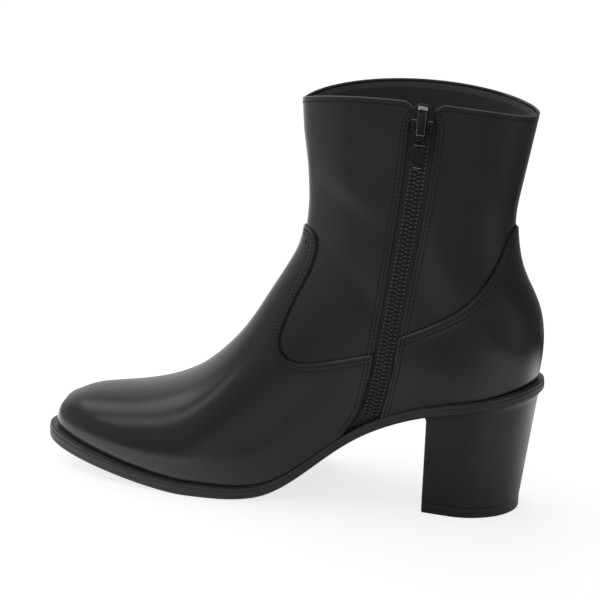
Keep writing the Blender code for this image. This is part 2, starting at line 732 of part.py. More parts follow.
# Zip tape and chain in the slit
zip_foot = float(foot(np.mean(zip_edges(np.array(0.0))))) + TAPE_FOOT_RISE
zip_head = float(collar_z(ZIP[-1].x)) - TAPE_HEAD_DROP
tape_z = np.linspace(zip_foot, zip_head, TAPE_ROWS)
zip_strip(
    "zip_tape",
    tape_z,
    zip_width(tape_z) / 2 - TAPE_INSET,
    np.full(len(tape_z), -TAPE_DEPTH - TAPE_WALL),
    TAPE_WALL,
    tape_cloth,
)
chain_top = SLIDER_Z - SLIDER_SIZE[1] / 2 - GAP
chain_foot = zip_foot + CHAIN_FOOT_RISE
ribs = int((chain_top - chain_foot) / CHAIN_PITCH)
chain_z = np.linspace(chain_foot, chain_top, 2 * ribs + 1)
in_groove = np.arange(len(chain_z)) % 2 == 0
chain_half = CHAIN_WIDTH / 2 - np.where(in_groove, CHAIN_GROOVE, 0.0)
zip_strip(
    "zip_chain",
    chain_z,
    chain_half,
    np.full(len(chain_z), GAP - TAPE_DEPTH),
    TAPE_DEPTH + CHAIN_PROUD - GAP,
    chain_nylon,
)

# Slider and pull, built about the zip and turned into place
slider_x = float(zip_x(SLIDER_Z))
seat_point, way_out = medial(np.array(slider_x), np.array(SLIDER_Z), np.array(0.0))
aim_z = SLIDER_Z + SLIDER_AIM_RISE
above, _ = medial(np.array(float(zip_x(aim_z))), np.array(aim_z), np.array(0.0))
normal = Vector(way_out)
across = Vector(above - seat_point).cross(normal).normalized()
upwards = normal.cross(across)
place = Matrix((across, upwards, normal)).transposed().to_4x4()
place.translation = Vector(seat_point) * MM

body_top = SLIDER_FOOT + SLIDER_SIZE[2]
slider = box("zip_slider", SLIDER_SIZE, (0, 0, SLIDER_FOOT + SLIDER_SIZE[2] / 2), slider_metal)
bevel(slider, SLIDER_EDGE, 2)
slider.matrix_basis = place
crown_height = CROWN_SIZE[2] + CROWN_WINDOW[2]
crown_size = (CROWN_SIZE[0], CROWN_SIZE[1], crown_height + CROWN_ROOT)
crown = box("crown", crown_size, (0, 0, body_top + (crown_height - CROWN_ROOT) / 2))
crown.matrix_basis = place
bevel(crown, CROWN_EDGE, 2)
crown_window = box("crown_window", CROWN_WINDOW, (0, 0, body_top + CROWN_WINDOW[2] / 2))
crown_window.matrix_basis = place
boolean(slider, crown, "UNION")
boolean(slider, crown_window, "DIFFERENCE")

pull = box("zip_pull", PULL_SIZE, (0, PULL_BAR / 2 - PULL_SIZE[1] / 2, 0), pull_metal)
bevel(pull, PULL_EDGE, 2)
pull_window = box("pull_window", PULL_WINDOW, (0, -PULL_BAR / 2 - PULL_WINDOW[1] / 2, 0))
axis_point = Vector((0, -PULL_AXIS_DROP, body_top + CROWN_WINDOW[2] / 2))
axis_place = place @ Matrix.Translation(axis_point * MM)
pull.matrix_basis = axis_place
pull_window.matrix_basis = axis_place
boolean(pull, pull_window, "DIFFERENCE")

# Stand the boot on the floor with its box centred on the origin
bpy.context.view_layer.update()
graph = bpy.context.evaluated_depsgraph_get()
spans = []
for part in PARTS.objects:
    if part.type == "MESH":
        shape = part.evaluated_get(graph)
        spans += [shape.matrix_world @ Vector(corner) for corner in shape.bound_box]
low = [min(point[i] for point in spans) for i in range(3)]
high = [max(point[i] for point in spans) for i in range(3)]
ROOT.location = (-(low[0] + high[0]) / 2, -(low[1] + high[1]) / 2, -low[2])
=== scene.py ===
"""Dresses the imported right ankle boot: leather, lining, zip, stitches, sole, heel, floor, light and camera.

Tables and functions work in millimetres in the boot's own axes: toe towards -X, inner side of the foot
(the zip) towards -Y, +Z up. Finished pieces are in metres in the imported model's frame.
"""

import functools
import json
import math
from collections import namedtuple
import bpy
import numpy as np
from mathutils import Matrix, Vector


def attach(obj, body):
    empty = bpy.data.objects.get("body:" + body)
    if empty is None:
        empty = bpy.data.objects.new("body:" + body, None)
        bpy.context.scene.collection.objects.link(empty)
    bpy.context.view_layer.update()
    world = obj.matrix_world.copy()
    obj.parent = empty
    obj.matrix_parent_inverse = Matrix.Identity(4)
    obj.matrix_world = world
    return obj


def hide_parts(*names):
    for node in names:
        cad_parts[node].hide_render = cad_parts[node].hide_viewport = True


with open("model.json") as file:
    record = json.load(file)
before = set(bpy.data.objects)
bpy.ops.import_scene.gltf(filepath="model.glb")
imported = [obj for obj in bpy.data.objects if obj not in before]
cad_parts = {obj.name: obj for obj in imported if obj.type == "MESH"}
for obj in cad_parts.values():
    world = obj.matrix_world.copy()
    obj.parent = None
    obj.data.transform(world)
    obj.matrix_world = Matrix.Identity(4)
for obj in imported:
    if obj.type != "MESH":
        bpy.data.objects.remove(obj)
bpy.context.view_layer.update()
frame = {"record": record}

bl_info = {
    "name": "Ankle boot dressing",
    "version": (1, 0, 0),
    "blender": (4, 5, 0),
    "location": "View3D > Sidebar > Boot",
    "description": "Leather, lining, zip, stitches, sole, heel and studio of the ankle boot",
    "category": "Object",
}

BODY = "boot"
PULL_BODY = "zip_pull"
HINGE = frame["record"]["behaviour"]["joints"][0]

MM = 0.001
# From the boot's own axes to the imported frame
FRAME_SHIFT = np.array([4.227, -2.0, 0.0])
# A guard against division by nothing, and a distance beyond every edge
TINY = 1e-9
FAR = 99.0


def table(columns, *rows):
    """Rows of values with named columns."""
    row = namedtuple("Row", columns)
    return [row(*values) for values in rows]


# The upper's foot and the sole's underside in the side view, and the gap between curved pieces
GAP = 0.3
UPPER_TIP_X = -124.0
UPPER_HEEL_X = 116.8
TOE_CURVE_LENGTH = 105.0
HEEL_CURVE_LENGTH = 31.0
FLAT_FRONT_X = -48.0
FLAT_REAR_X = -27.0
TOE_SPRING = 11.0
TOE_SPRING_POWER = 1.3

# Sole stations: height of its side, half-widths of the upper's foot, swing of its middle, ledge round it
SOLE = table(
    "x wall inner outer swing ledge",
    (-124.0, 7.0, 36.5, 38.5, 1.0, 5.8),
    (-85.0, 6.6, 37.8, 38.8, 1.0, 4.4),
    (-45.0, 6.3, 38.8, 39.6, 1.2, 3.6),
    (-15.0, 6.0, 35.8, 38.2, 1.8, 3.2),
    (20.0, 5.5, 28.6, 32.0, 2.4, 2.4),
    (55.0, 5.1, 27.0, 28.0, 1.2, 2.4),
    (90.0, 5.0, 28.6, 28.6, 0.0, 3.4),
    (118.0, 5.4, 28.6, 28.6, 0.0, 4.6),
)

# Underside of the outsole behind the flat tread
ARCH = table(
    "x z",
    (FLAT_REAR_X, 0.0),
    (-16.0, 0.8),
    (-6.0, 3.2),
    (7.6, 11.3),
    (21.6, 22.8),
    (35.7, 33.4),
    (50.0, 41.3),
    (69.0, 48.6),
    (95.0, 54.6),
    (124.0, 60.6),
)

# Sections of the upper, toe to collar, each from a base on the sole (base_z None) or up the back to the
# front ridge. inner, outer: widest half-widths; skew: where the widest place lies; round: 1 is elliptical
SECTIONS = table(
    "base_x base_z front_x front_z inner outer skew round_base round_front",
    (-124.0, None, -124.0, None, 38.5, 40.5, -0.10, 1.00, 0.90),
    (-121.0, None, -123.4, 24.6, 39.0, 41.0, -0.10, 1.00, 0.90),
    (-114.0, None, -118.6, 32.0, 39.6, 41.2, -0.10, 1.00, 0.90),
    (-101.0, None, -105.4, 37.6, 40.2, 41.6, -0.10, 1.00, 0.90),
    (-83.0, None, -86.2, 40.8, 40.8, 41.8, -0.10, 1.00, 0.92),
    (-63.0, None, -65.4, 46.2, 41.4, 42.2, -0.12, 1.00, 0.96),
    (-42.0, None, -45.6, 56.8, 41.6, 42.4, -0.14, 1.00, 1.02),
    (-20.0, None, -27.0, 75.5, 38.8, 41.4, -0.16, 1.00, 1.06),
    (8.0, None, -13.0, 97.5, 33.8, 37.6, -0.16, 1.00, 1.06),
    (42.0, None, -1.6, 117.0, 30.6, 33.4, -0.14, 1.00, 1.02),
    (80.0, None, 2.6, 130.5, 31.6, 32.2, -0.12, 1.00, 1.00),
    (116.8, None, 3.7, 143.0, 32.2, 32.6, -0.10, 1.00, 0.98),
    (118.5, 80.0, 3.5, 151.5, 32.0, 32.4, -0.09, 0.96, 0.98),
    (116.0, 98.8, 3.0, 159.5, 31.2, 31.6, -0.07, 0.98, 0.97),
    (107.4, 117.5, 2.2, 166.5, 30.6, 30.9, -0.05, 1.00, 0.97),
    (103.8, 139.0, 1.2, 173.5, 30.6, 30.8, -0.04, 0.99, 0.96),
    (106.2, 158.5, 0.4, 180.0, 31.4, 31.5, -0.03, 0.98, 0.96),
    (112.4, 192.2, -0.5, 193.2, 33.6, 33.6, -0.02, 0.96, 0.95),
    (115.0, 207.0, -1.6, 207.0, 34.6, 34.6, -0.02, 0.96, 0.95),
)
# The section at the heel, the start and the steps of the search for a section, the step of a slope
HEEL_SECTION = 11
FIRST_SECTION = 1e-4
HALVINGS = 46
SLOPE_STEP = 0.5

# Collar: its ends in the side view and the arch between them
COLLAR_FRONT = (-0.5, 193.2)
COLLAR_BACK = (112.4, 192.2)
COLLAR_ARCH = 7.4
COLLAR_ARCH_LEAD = 0.85
COLLAR_ARCH_POWER = 0.85

# Zip line down the inner side, with the width of its opening
ZIP = table(
    "z x width",
    (40.0, 41.0, 9.4),
    (60.0, 46.8, 9.8),
    (78.0, 50.0, 10.5),
    (120.0, 56.0, 11.8),
    (170.0, 62.6, 12.6),
    (202.0, 65.4, 12.6),
)
# Where the leather closes in on the slider, and where the opening swings forward at the sole
PINCH_FOOT = 188.5
PINCH_HEIGHT = 9.0
PINCH_REACH = 3.4
FLARE_TOP = 52.0
FLARE_HEIGHT = 20.0
FLARE_REACH = 9.0
# Dip of the collar towards the slider: depth, where it starts and is full, and how far down it fades
NOTCH_DEPTH = 3.8
NOTCH_OUTER = 10.0
NOTCH_INNER = 2.4
NOTCH_FADE = 16.0

# Edges in the side view: of the vamp over the shaft, ridge to zip, and of the counter, zip to back
VAMP_EDGE = table(
    "x z",
    (-14.0, 129.0),
    (-1.0, 130.5),
    (6.0, 131.2),
    (10.6, 129.0),
    (11.6, 122.5),
    (7.2, 109.0),
    (0.4, 94.5),
    (-3.4, 83.0),
    (-3.8, 75.5),
    (0.3, 70.6),
    (8.0, 68.8),
    (22.0, 71.2),
    (40.0, 76.4),
    (52.0, 80.0),
)
COUNTER_EDGE = table(
    "x z",
    (50.0, 84.6),
    (60.0, 88.9),
    (76.0, 97.0),
    (88.0, 105.2),
    (95.6, 115.2),
    (100.4, 127.5),
    (104.8, 140.0),
    (116.0, 148.0),
)

# Height of an overlay above the shaft, by distance inside its edge: dyed bevel, whose dark dye also paints
# the shade band beside the edge, bead, two sewn-down rows, then flat
OVERLAY_PROFILE = table(
    "inset height",
    (-1.3, -0.2),
    (-0.9, 0.1),
    (-0.4, 0.4),
    (-0.1, 0.75),
    (0.15, 1.1),
    (0.5, 1.34),
    (0.9, 1.34),
    (1.4, 1.22),
    (2.2, 1.4),
    (3.2, 1.24),
    (4.2, 1.4),
    (5.6, 1.42),
    (7.5, 1.42),
    (40.0, 1.42),
)
# Rows of an overlay's edge band, by distance inside its edge, and columns beside the zip or seam
OVERLAY_INSETS = (
    *(5.0, 4.6, 4.2, 3.7, 3.2, 2.7, 2.2, 1.8, 1.4, 1.1, 0.8, 0.55, 0.3, 0.1),
    *(-0.1, -0.35, -0.65, -1.0, -1.3),
)
FOLD_INSETS = np.array((8.0, 6.4, 5.0, 4.0, 3.2, 2.5, 1.9, 1.4, 1.0, 0.65, 0.35, 0.12, 0.0))
# Radius of the overlays' folded ends, and clearance of their lower edges from the sole
FOLD_ROUND = 1.2
FOOT_CLEAR = 0.15
# Rows below this inset are dyed to this tone, a dark dye that also paints the shade along the edge; faces
# below the last value get the dye's own material
EDGE_DYE_AND_SHADE = 0.0
EDGE_DYE_AND_SHADE_TONE = 0.1
DYE_AND_SHADE_BELOW = 0.5
# Layout of the overlays: grid sizes, lowest heights of their ends, radius round the back of the heel
VAMP_COLUMNS = 92
VAMP_ROWS = 66
VAMP_LOWEST = 26.0
COUNTER_COLUMNS = 60
COUNTER_ROWS = 50
COUNTER_LOWEST = 34.0
BACK_ROUND = 18.0
# Steps for an edge's direction and for a middle or end line's, and how far rows are drawn to those lines
EDGE_STEP = 0.6
LINE_STEP = 3.0
OUTER_STRETCH = 1.3
DRAW_REACH = 6.0
DRAW_BANDS = 1.6
# Half-width beside the middle line where the grid's own normals hold, and where they give way to the slope's
RIDGE_BAND = 5.0
RIDGE_BLEND = 3.5


# Curves


def natural_spline(stations, values):
    """A curve without kinks through the values, held at its ends beyond them."""
    x = np.asarray(stations, float)
    y = np.asarray(values, float)
    step = np.diff(x)
    matrix = np.eye(len(x))
    right = np.zeros(len(x))
    for i in range(1, len(x) - 1):
        matrix[i, i - 1 : i + 2] = step[i - 1], 2 * (step[i - 1] + step[i]), step[i]
        right[i] = 6 * ((y[i + 1] - y[i]) / step[i] - (y[i] - y[i - 1]) / step[i - 1])
    bend = np.linalg.solve(matrix, right)

    def at(where):
        where = np.clip(where, x[0], x[-1])
        i = np.clip(np.searchsorted(x, where) - 1, 0, len(x) - 2)
        h = step[i]
        a = (x[i + 1] - where) / h
        b = 1 - a
        curve = (a**3 - a) * bend[i] + (b**3 - b) * bend[i + 1]
        return a * y[i] + b * y[i + 1] + curve * h * h / 6

    return at


def column(rows, name, stations=None):
    """One named column of a table as a smooth curve over its first column or the given stations."""
    where = [row[0] for row in rows] if stations is None else stations
    return natural_spline(where, [getattr(row, name) for row in rows])


def ease(share):
    """A share from 0 to 1, without kinks at its ends."""
    share = np.clip(share, 0, 1)
    return share * share * (3 - 2 * share)


def unit(ways):
    """Ways along the last axis, each 1 long."""
    return ways / np.maximum(np.linalg.norm(ways, axis=-1, keepdims=True), TINY)


def travel(line):
    """Distance along a row of points, from its start."""
    return np.concatenate([[0], np.cumsum(np.linalg.norm(np.diff(line, axis=0), axis=1))])


def along(line, distance):
    """Points at distances along a row of points."""
    run = travel(line)
    return np.stack([np.interp(distance, run, line[:, i]) for i in range(line.shape[1])], axis=-1)


def smooth_line(rows, count=600):
    """A table's edge line as a dense smooth row of side-view points."""
    points = np.array([(row.x, row.z) for row in rows])
    run = travel(points)
    where = np.linspace(0, run[-1], count)
    return np.column_stack([natural_spline(run, points[:, i])(where) for i in range(2)])


def cut_line(line, *limits):
    """The stretch of a row of points on which every limit function of (x, z) is positive."""
    for limit in limits:
        value = limit(line[:, 0], line[:, 1])
        kept = np.flatnonzero(value > 0)
        first, last = kept[0], kept[-1]
        piece = line[first : last + 1]
        if first > 0:
            share = value[first] / (value[first] - value[first - 1])
            piece = np.vstack([line[first] + share * (line[first - 1] - line[first]), piece])
        if last < len(line) - 1:
            share = value[last] / (value[last] - value[last + 1])
            piece = np.vstack([piece, line[last] + share * (line[last + 1] - line[last])])
        line = piece
    return line


# Outside of the upper

sole_wall = column(SOLE, "wall")
sole_inner = column(SOLE, "inner")
sole_outer = column(SOLE, "outer")
sole_swing = column(SOLE, "swing")
sole_ledge = column(SOLE, "ledge")
arch = column(ARCH, "z")
zip_x = column(ZIP, "x")
zip_width = column(ZIP, "width")
overlay_height = column(OVERLAY_PROFILE, "height")


def tread(x):
    """Height of the outsole's underside: toe spring, flat tread, then the arch up to the heel seat."""
    x = np.asarray(x, float)
    ahead = np.clip((FLAT_FRONT_X - x) / (FLAT_FRONT_X - UPPER_TIP_X), 0, None)
    return np.where(x < FLAT_FRONT_X, TOE_SPRING * ahead**TOE_SPRING_POWER, np.maximum(arch(x), 0))


def rim(x):
    """Height of the top of the sole."""
    return tread(x) + sole_wall(x)


def foot(x):
    """Height of the upper's lower edge."""
    return rim(x) + GAP


def rounded_end(x, end, length):
    """Share of the full width left towards a rounded end."""
    inside = np.clip(1 - np.abs(x - end) / length, 0, 1)
    return np.sqrt(np.clip(1 - inside**2, 0, 1))


def toe_round(x):
    return rounded_end(np.minimum(x, UPPER_TIP_X + TOE_CURVE_LENGTH), UPPER_TIP_X, TOE_CURVE_LENGTH)


def heel_round(x):
    return rounded_end(np.maximum(x, UPPER_HEEL_X - HEEL_CURVE_LENGTH), UPPER_HEEL_X, HEEL_CURVE_LENGTH)


STATIONS = np.arange(len(SECTIONS), dtype=float)
BASE_Z = [foot(row.base_x) if row.base_z is None else row.base_z for row in SECTIONS]
FRONT_Z = [foot(row.front_x) if row.front_z is None else row.front_z for row in SECTIONS]
BASE_X = [row.base_x for row in SECTIONS]
foot_x = natural_spline(STATIONS[: HEEL_SECTION + 1], BASE_X[: HEEL_SECTION + 1])
back_x = natural_spline(STATIONS[HEEL_SECTION:], BASE_X[HEEL_SECTION:])
back_z = natural_spline(STATIONS[HEEL_SECTION:], BASE_Z[HEEL_SECTION:])
front_x = column(SECTIONS, "front_x", STATIONS)
front_z = natural_spline(STATIONS, FRONT_Z)
section_inner = column(SECTIONS, "inner", STATIONS)
section_outer = column(SECTIONS, "outer", STATIONS)
section_skew = column(SECTIONS, "skew", STATIONS)
section_round_base = column(SECTIONS, "round_base", STATIONS)
section_round_front = column(SECTIONS, "round_front", STATIONS)


def base_point(k):
    """The end of section k on the sole's rim or, past the heel, on the back of the boot."""
    k = np.asarray(k, float)
    x = np.where(k < HEEL_SECTION, np.clip(foot_x(k), UPPER_TIP_X, UPPER_HEEL_X), back_x(k))
    return x, np.where(k < HEEL_SECTION, foot(x), back_z(k))


def section_through(x, z):
    """(section number, share of the way from base to front) of the section through a side-view point."""
    low = np.full(np.shape(x), FIRST_SECTION)
    high = np.full(np.shape(x), STATIONS[-1])
    for _ in range(HALVINGS):
        k = (low + high) / 2
        bx, bz = base_point(k)
        ahead = (front_z(k) - bz) * (x - bx) - (front_x(k) - bx) * (z - bz) > 0
        low = np.where(ahead, k, low)
        high = np.where(ahead, high, k)
    k = (low + high) / 2
    bx, bz = base_point(k)
    dx = front_x(k) - bx
    dz = front_z(k) - bz
    share = ((x - bx) * dx + (z - bz) * dz) / np.maximum(dx * dx + dz * dz, TINY)
    return k, np.clip(share, 0, 1)


def half_width(k, share, widest, at_foot):
    """Half-width of section k a share of the way up it, from at_foot at its base to 0 at the ridge."""
    skew = section_skew(k)
    base_power = section_round_base(k)
    front_power = section_round_front(k)
    start_sine = np.clip(at_foot / np.maximum(widest, 1e-6), 0, 0.999) ** (1 / base_power)
    start_cosine = np.sqrt(1 - start_sine**2)
    start = (1 - start_cosine) / 2 + skew * start_sine**2
    run = start + share * (1 - start)
    rest = run - 0.5 - skew
    cosine = np.clip(-2 * rest / (0.5 + np.sqrt(np.maximum(0.25 - 4 * skew * rest, 0))), -1, 1)
    power = base_power + (front_power - base_power) * (1 - cosine) / 2
    return widest * np.sqrt(1 - cosine**2) ** power


def side_y(x, z, side):
    """Y of the upper's outside at a side-view point: side -1 is the inner side of the foot, +1 the outer."""
    k, share = section_through(x, z)
    bx, _ = base_point(k)
    on_foot = k < HEEL_SECTION
    foot_widths = sole_inner(bx) if side < 0 else sole_outer(bx)
    at_foot = np.where(on_foot, foot_widths * toe_round(bx) * heel_round(bx), 0.0)
    widest = (section_inner(k) if side < 0 else section_outer(k)) * toe_round(bx)
    swing = np.where(on_foot, sole_swing(bx), 0.0)
    return swing + side * half_width(k, share, widest, at_foot)


def lay(x, z, side):
    """Points on the upper's outside at side-view points."""
    return np.stack([x, side_y(x, z, side), z], axis=-1)


def way_out(x, z, side):
    """Unit normals of the upper at side-view points."""
    slope_x = (side_y(x + SLOPE_STEP, z, side) - side_y(x - SLOPE_STEP, z, side)) / (2 * SLOPE_STEP)
    slope_z = (side_y(x, z + SLOPE_STEP, side) - side_y(x, z - SLOPE_STEP, side)) / (2 * SLOPE_STEP)
    return unit(side * np.stack([-slope_x, np.ones_like(slope_x), -slope_z], axis=-1))


def outward(points):
    """Unit normals of a grid whose columns run outer side, front, inner side and whose rows run up."""
    return unit(np.cross(np.gradient(points, axis=1), np.gradient(points, axis=0)))


def wall_row(plan, side, lift):
    """A row of points lifted off the upper at side-view points, with their normals."""
    normals = way_out(plan[:, 0], plan[:, 1], side)
    return lay(plan[:, 0], plan[:, 1], side) + normals * np.asarray(lift)[..., None], normals


def collar_z(x):
    """Height of the collar: low at the front and back, arched over the sides."""
    share = np.clip((x - COLLAR_FRONT[0]) / (COLLAR_BACK[0] - COLLAR_FRONT[0]), 0, 1)
    peaked = share**COLLAR_ARCH_LEAD
    arched = COLLAR_ARCH * (4 * peaked * (1 - peaked)) ** COLLAR_ARCH_POWER
    return COLLAR_FRONT[1] + share * (COLLAR_BACK[1] - COLLAR_FRONT[1]) + arched


# The front ridge and the back of the boot as dense rows of side-view points
RIDGE_K = np.linspace(0, STATIONS[-1], 2401)
RIDGE = np.column_stack([front_x(RIDGE_K), front_z(RIDGE_K)])
BACK_K = np.linspace(HEEL_SECTION, STATIONS[-1], 1201)
BACK = np.column_stack([back_x(BACK_K), back_z(BACK_K)])


def ridge_x(z):
    return np.interp(z, RIDGE[:, 1], RIDGE[:, 0])


def heel_x(z):
    return np.interp(z, BACK[:, 1], BACK[:, 0])


def pinch(z):
    """How far the leather closes in on each side of the slider's top."""
    return PINCH_REACH * ease((z - PINCH_FOOT) / PINCH_HEIGHT)


def zip_front(z):
    """Front edge of the zip opening, which swings forward at the sole."""
    low = np.clip((FLARE_TOP - z) / FLARE_HEIGHT, 0, 1)
    return zip_x(z) - zip_width(z) / 2 + pinch(z) - FLARE_REACH * low**2


def zip_rear(z):
    return zip_x(z) + zip_width(z) / 2 - pinch(z)


def notch(x, z):
    """How far the collar dips towards the slider."""
    return NOTCH_DEPTH * ease((NOTCH_OUTER - np.abs(x - zip_x(z))) / (NOTCH_OUTER - NOTCH_INNER))


def fold_share(distance, radius):
    """Share of the full height left beside a folded edge, a quarter round of a radius."""
    inside = np.clip(1 - distance / radius, 0, 1)
    return np.sqrt(1 - inside**2)


# Overlays


def eased(net, rounds=1500):
    """A plan grid with its inner points moved until its lines spread evenly and none cross."""
    net = net.copy()
    for _ in range(rounds):
        across = (net[1:-1, 2:] - net[1:-1, :-2]) / 2
        up = (net[2:, 1:-1] - net[:-2, 1:-1]) / 2
        twist = (net[2:, 2:] - net[2:, :-2] - net[:-2, 2:] + net[:-2, :-2]) / 4
        a = (up**2).sum(axis=2, keepdims=True)
        b = (across * up).sum(axis=2, keepdims=True)
        c = (across**2).sum(axis=2, keepdims=True)
        beside = net[1:-1, 2:] + net[1:-1, :-2]
        above = net[2:, 1:-1] + net[:-2, 1:-1]
        net[1:-1, 1:-1] = (a * beside + c * above - 2 * b * twist) / np.maximum(2 * (a + c), TINY)
    return net


class Overlay:
    """One side of a leather overlay, from the middle line (ridge or back) to its end at the zip or seam.

    Its rows run up from the foot to the turned edge, and its columns from the middle line to the end.
    It is laid out on a flat plan, which unfold maps to the side view. insets holds each row's distance
    inside the turned edge.
    """

    def __init__(self, edge, foot_line, middle, end, spread, rows, unfold):
        self.edge, self.middle, self.end = edge, middle, end
        band = OVERLAY_INSETS[0]
        top_run, foot_run = travel(edge)[-1], travel(foot_line)[-1]
        self.top_at = self.places(top_run, spread)
        foot_at = self.places(foot_run, spread)
        weight = (self.top_at / top_run + foot_at / foot_run) / 2
        upper_edge = self.inset(band)
        lower_edge = along(foot_line, foot_at)
        share = np.linspace(0, 1, rows)
        left = along(middle, share * (travel(middle)[-1] - band * self.stretch(0)))
        right = along(end, share * (travel(end)[-1] - band * self.stretch(-1)))
        s = weight[None, :, None]
        t = share[:, None, None]
        net = (1 - t) * lower_edge[None] + t * upper_edge[None] + (1 - s) * left[:, None] + s * right[:, None]
        net -= (1 - s) * (1 - t) * lower_edge[0] + s * (1 - t) * lower_edge[-1]
        net -= (1 - s) * t * upper_edge[0] + s * t * upper_edge[-1]
        band_rows = np.stack([self.inset(distance) for distance in OVERLAY_INSETS])
        self.plan = unfold(np.concatenate([eased(net)[:-1], band_rows]))
        self.insets = np.concatenate([np.full(rows - 1, 2 * band), OVERLAY_INSETS])

    @staticmethod
    def places(run, spread):
        """Distances of the columns along an edge of length run: close at the middle line and at the end."""
        return np.concatenate([spread[:-1] * (run - FOLD_INSETS[0]) / spread[-1], run - FOLD_INSETS])

    def inward(self, at):
        """Unit ways into the overlay at distances along its edge."""
        run = travel(self.edge)[-1]
        ahead = along(self.edge, np.minimum(at + EDGE_STEP, run))
        way = unit(ahead - along(self.edge, np.maximum(at - EDGE_STEP, 0)))
        return np.column_stack([way[:, 1], -way[:, 0]])

    def corner(self, which):
        """Way into the overlay at the edge's first or last point."""
        return self.inward(np.array([0.0 if which == 0 else travel(self.edge)[-1]]))[0]

    def upward(self, which):
        """The last step of the middle or end line, up to the edge."""
        line = self.middle if which == 0 else self.end
        return line[-1] - along(line, np.array([travel(line)[-1] - LINE_STEP]))[0]

    def stretch(self, which):
        """Distance along the middle or end line for each millimetre inside the edge."""
        down = -self.upward(which)
        return np.linalg.norm(down) / (down @ self.corner(which))

    def inset(self, distance):
        """Points a distance inside the turned edge, their ends on the middle line and on the end line."""
        at = self.top_at
        run = travel(self.edge)[-1]
        moved = along(self.edge, at) + distance * self.inward(at)
        for line, place, which in ((self.middle, at, 0), (self.end, run - at, -1)):
            stretch = self.stretch(which)
            target = along(line, np.array([travel(line)[-1] - max(distance, 0) * stretch]))[0]
            if distance < 0:
                target = target - distance * min(stretch, OUTER_STRETCH) * unit(self.upward(which))
            shift = target - self.edge[which] - distance * self.corner(which)
            reach = max(DRAW_REACH, DRAW_BANDS * OVERLAY_INSETS[0] * stretch)
            moved = moved + np.exp(-((place / reach) ** 2))[:, None] * shift
        return moved


def end_line(limit, top, lowest):
    """An overlay's end along x = limit(z), from the foot up to height top."""
    z = np.linspace(top, lowest, 400)
    return cut_line(np.column_stack([limit(z), z]), lambda x, z: z - foot(x) - FOOT_CLEAR)[::-1]


def floor_line(start, end, count):
    """An overlay's lower edge, just above the sole."""
    x = np.linspace(start, end, count)
    return np.column_stack([x, foot(x) + FOOT_CLEAR])


def fold_back(line):
    """Side-view points as (distance round the back from its middle line, z)."""
    behind = np.maximum(heel_x(line[..., 1]) - line[..., 0], 0)
    return np.stack([np.sqrt(behind**2 + 2 * behind * BACK_ROUND), line[..., 1]], axis=-1)


def unfold_back(plan):
    """The side-view points of (distance round the back, z)."""
    behind = np.sqrt(plan[..., 0] ** 2 + BACK_ROUND**2) - BACK_ROUND
    return np.stack([heel_x(plan[..., 1]) - behind, plan[..., 1]], axis=-1)


@functools.cache
def vamp_half(side):
    """The vamp's inner or outer side."""
    limit = zip_front if side < 0 else zip_x
    edge = cut_line(smooth_line(VAMP_EDGE), lambda x, z: x - ridge_x(z), lambda x, z: limit(z) - x)
    end = end_line(limit, edge[-1, 1], VAMP_LOWEST)
    lower = floor_line(UPPER_TIP_X, end[0, 0], 800)
    ridge = np.vstack([RIDGE[RIDGE[:, 1] < edge[0, 1]], edge[:1]])
    ridge = cut_line(ridge, lambda x, z: z - lower[0, 1] + 1e-6)
    ridge[0] = lower[0]
    spread = 1 - np.cos(np.linspace(0, math.pi / 2, VAMP_COLUMNS))
    return Overlay(edge, lower, ridge, end, spread, VAMP_ROWS, lambda plan: plan)


@functools.cache
def counter_half(side):
    """The counter's inner or outer side, laid out unrolled round the back."""
    limit = zip_rear if side < 0 else (lambda z: zip_x(z) + GAP)
    edge = cut_line(smooth_line(COUNTER_EDGE), lambda x, z: heel_x(z) - x, lambda x, z: x - limit(z))[::-1]
    end = end_line(limit, edge[-1, 1], COUNTER_LOWEST)
    lower = floor_line(UPPER_HEEL_X, end[0, 0], 500)
    heights = np.linspace(lower[0, 1], edge[0, 1], 200)
    back = np.column_stack([np.zeros(len(heights)), heights])
    spread = np.linspace(0, 1, COUNTER_COLUMNS)
    edge, lower, end = (fold_back(line) for line in (edge, lower, end))
    return Overlay(edge, lower, back, end, spread, COUNTER_ROWS, unfold_back)


@functools.cache
def overlay_points(half, seam_side):
    """Outer surface of an overlay and the ways out of it, from its two halves, outer side first.

    seam_side is 1 for an overlay in front of the zip and side seam, and -1 for one behind them.
    """
    inner, outer = half(-1), half(1)
    plan = np.concatenate([outer.plan[:, ::-1], inner.plan[:, 1:]], axis=1)
    count = outer.plan.shape[1]
    zip_edge = zip_front if seam_side > 0 else zip_rear

    def on_both(make):
        parts = ((plan[:, :count], 1), (plan[:, count:], -1))
        return np.concatenate([make(part[..., 0], part[..., 1], side) for part, side in parts], axis=1)

    base = on_both(lay)
    end_gap = on_both(lambda x, z, side: seam_side * ((zip_x(z) if side > 0 else zip_edge(z)) - x))
    height = overlay_height(inner.insets)[:, None] * np.ones(plan.shape[1])
    height = np.where(height > 0, height * fold_share(np.maximum(end_gap, 0), FOLD_ROUND), height)
    share = np.clip((np.abs(base[..., 1]) - RIDGE_BAND) / RIDGE_BLEND, 0, 1)[..., None]
    way = unit(outward(base) * seam_side * (1 - share) + on_both(way_out) * share)
    return base + way * height[..., None], way


# Meshes


def clear_selection():
    if bpy.context.object and bpy.context.object.mode != "OBJECT":
        bpy.ops.object.mode_set(mode="OBJECT")
    bpy.ops.object.select_all(action="DESELECT")


def pick(piece):
    """Selects a piece alone and makes it active."""
    clear_selection()
    piece.select_set(True)
    bpy.context.view_layer.objects.active = piece


def face_outwards(merge=0.0):
    """Turns the active piece's faces outwards, after merging points closer than a distance."""
    bpy.ops.object.mode_set(mode="EDIT")
    bpy.ops.mesh.select_all(action="SELECT")
    if merge:
        bpy.ops.mesh.remove_doubles(threshold=merge)
    bpy.ops.mesh.normals_make_consistent(inside=False)
    bpy.ops.object.mode_set(mode="OBJECT")


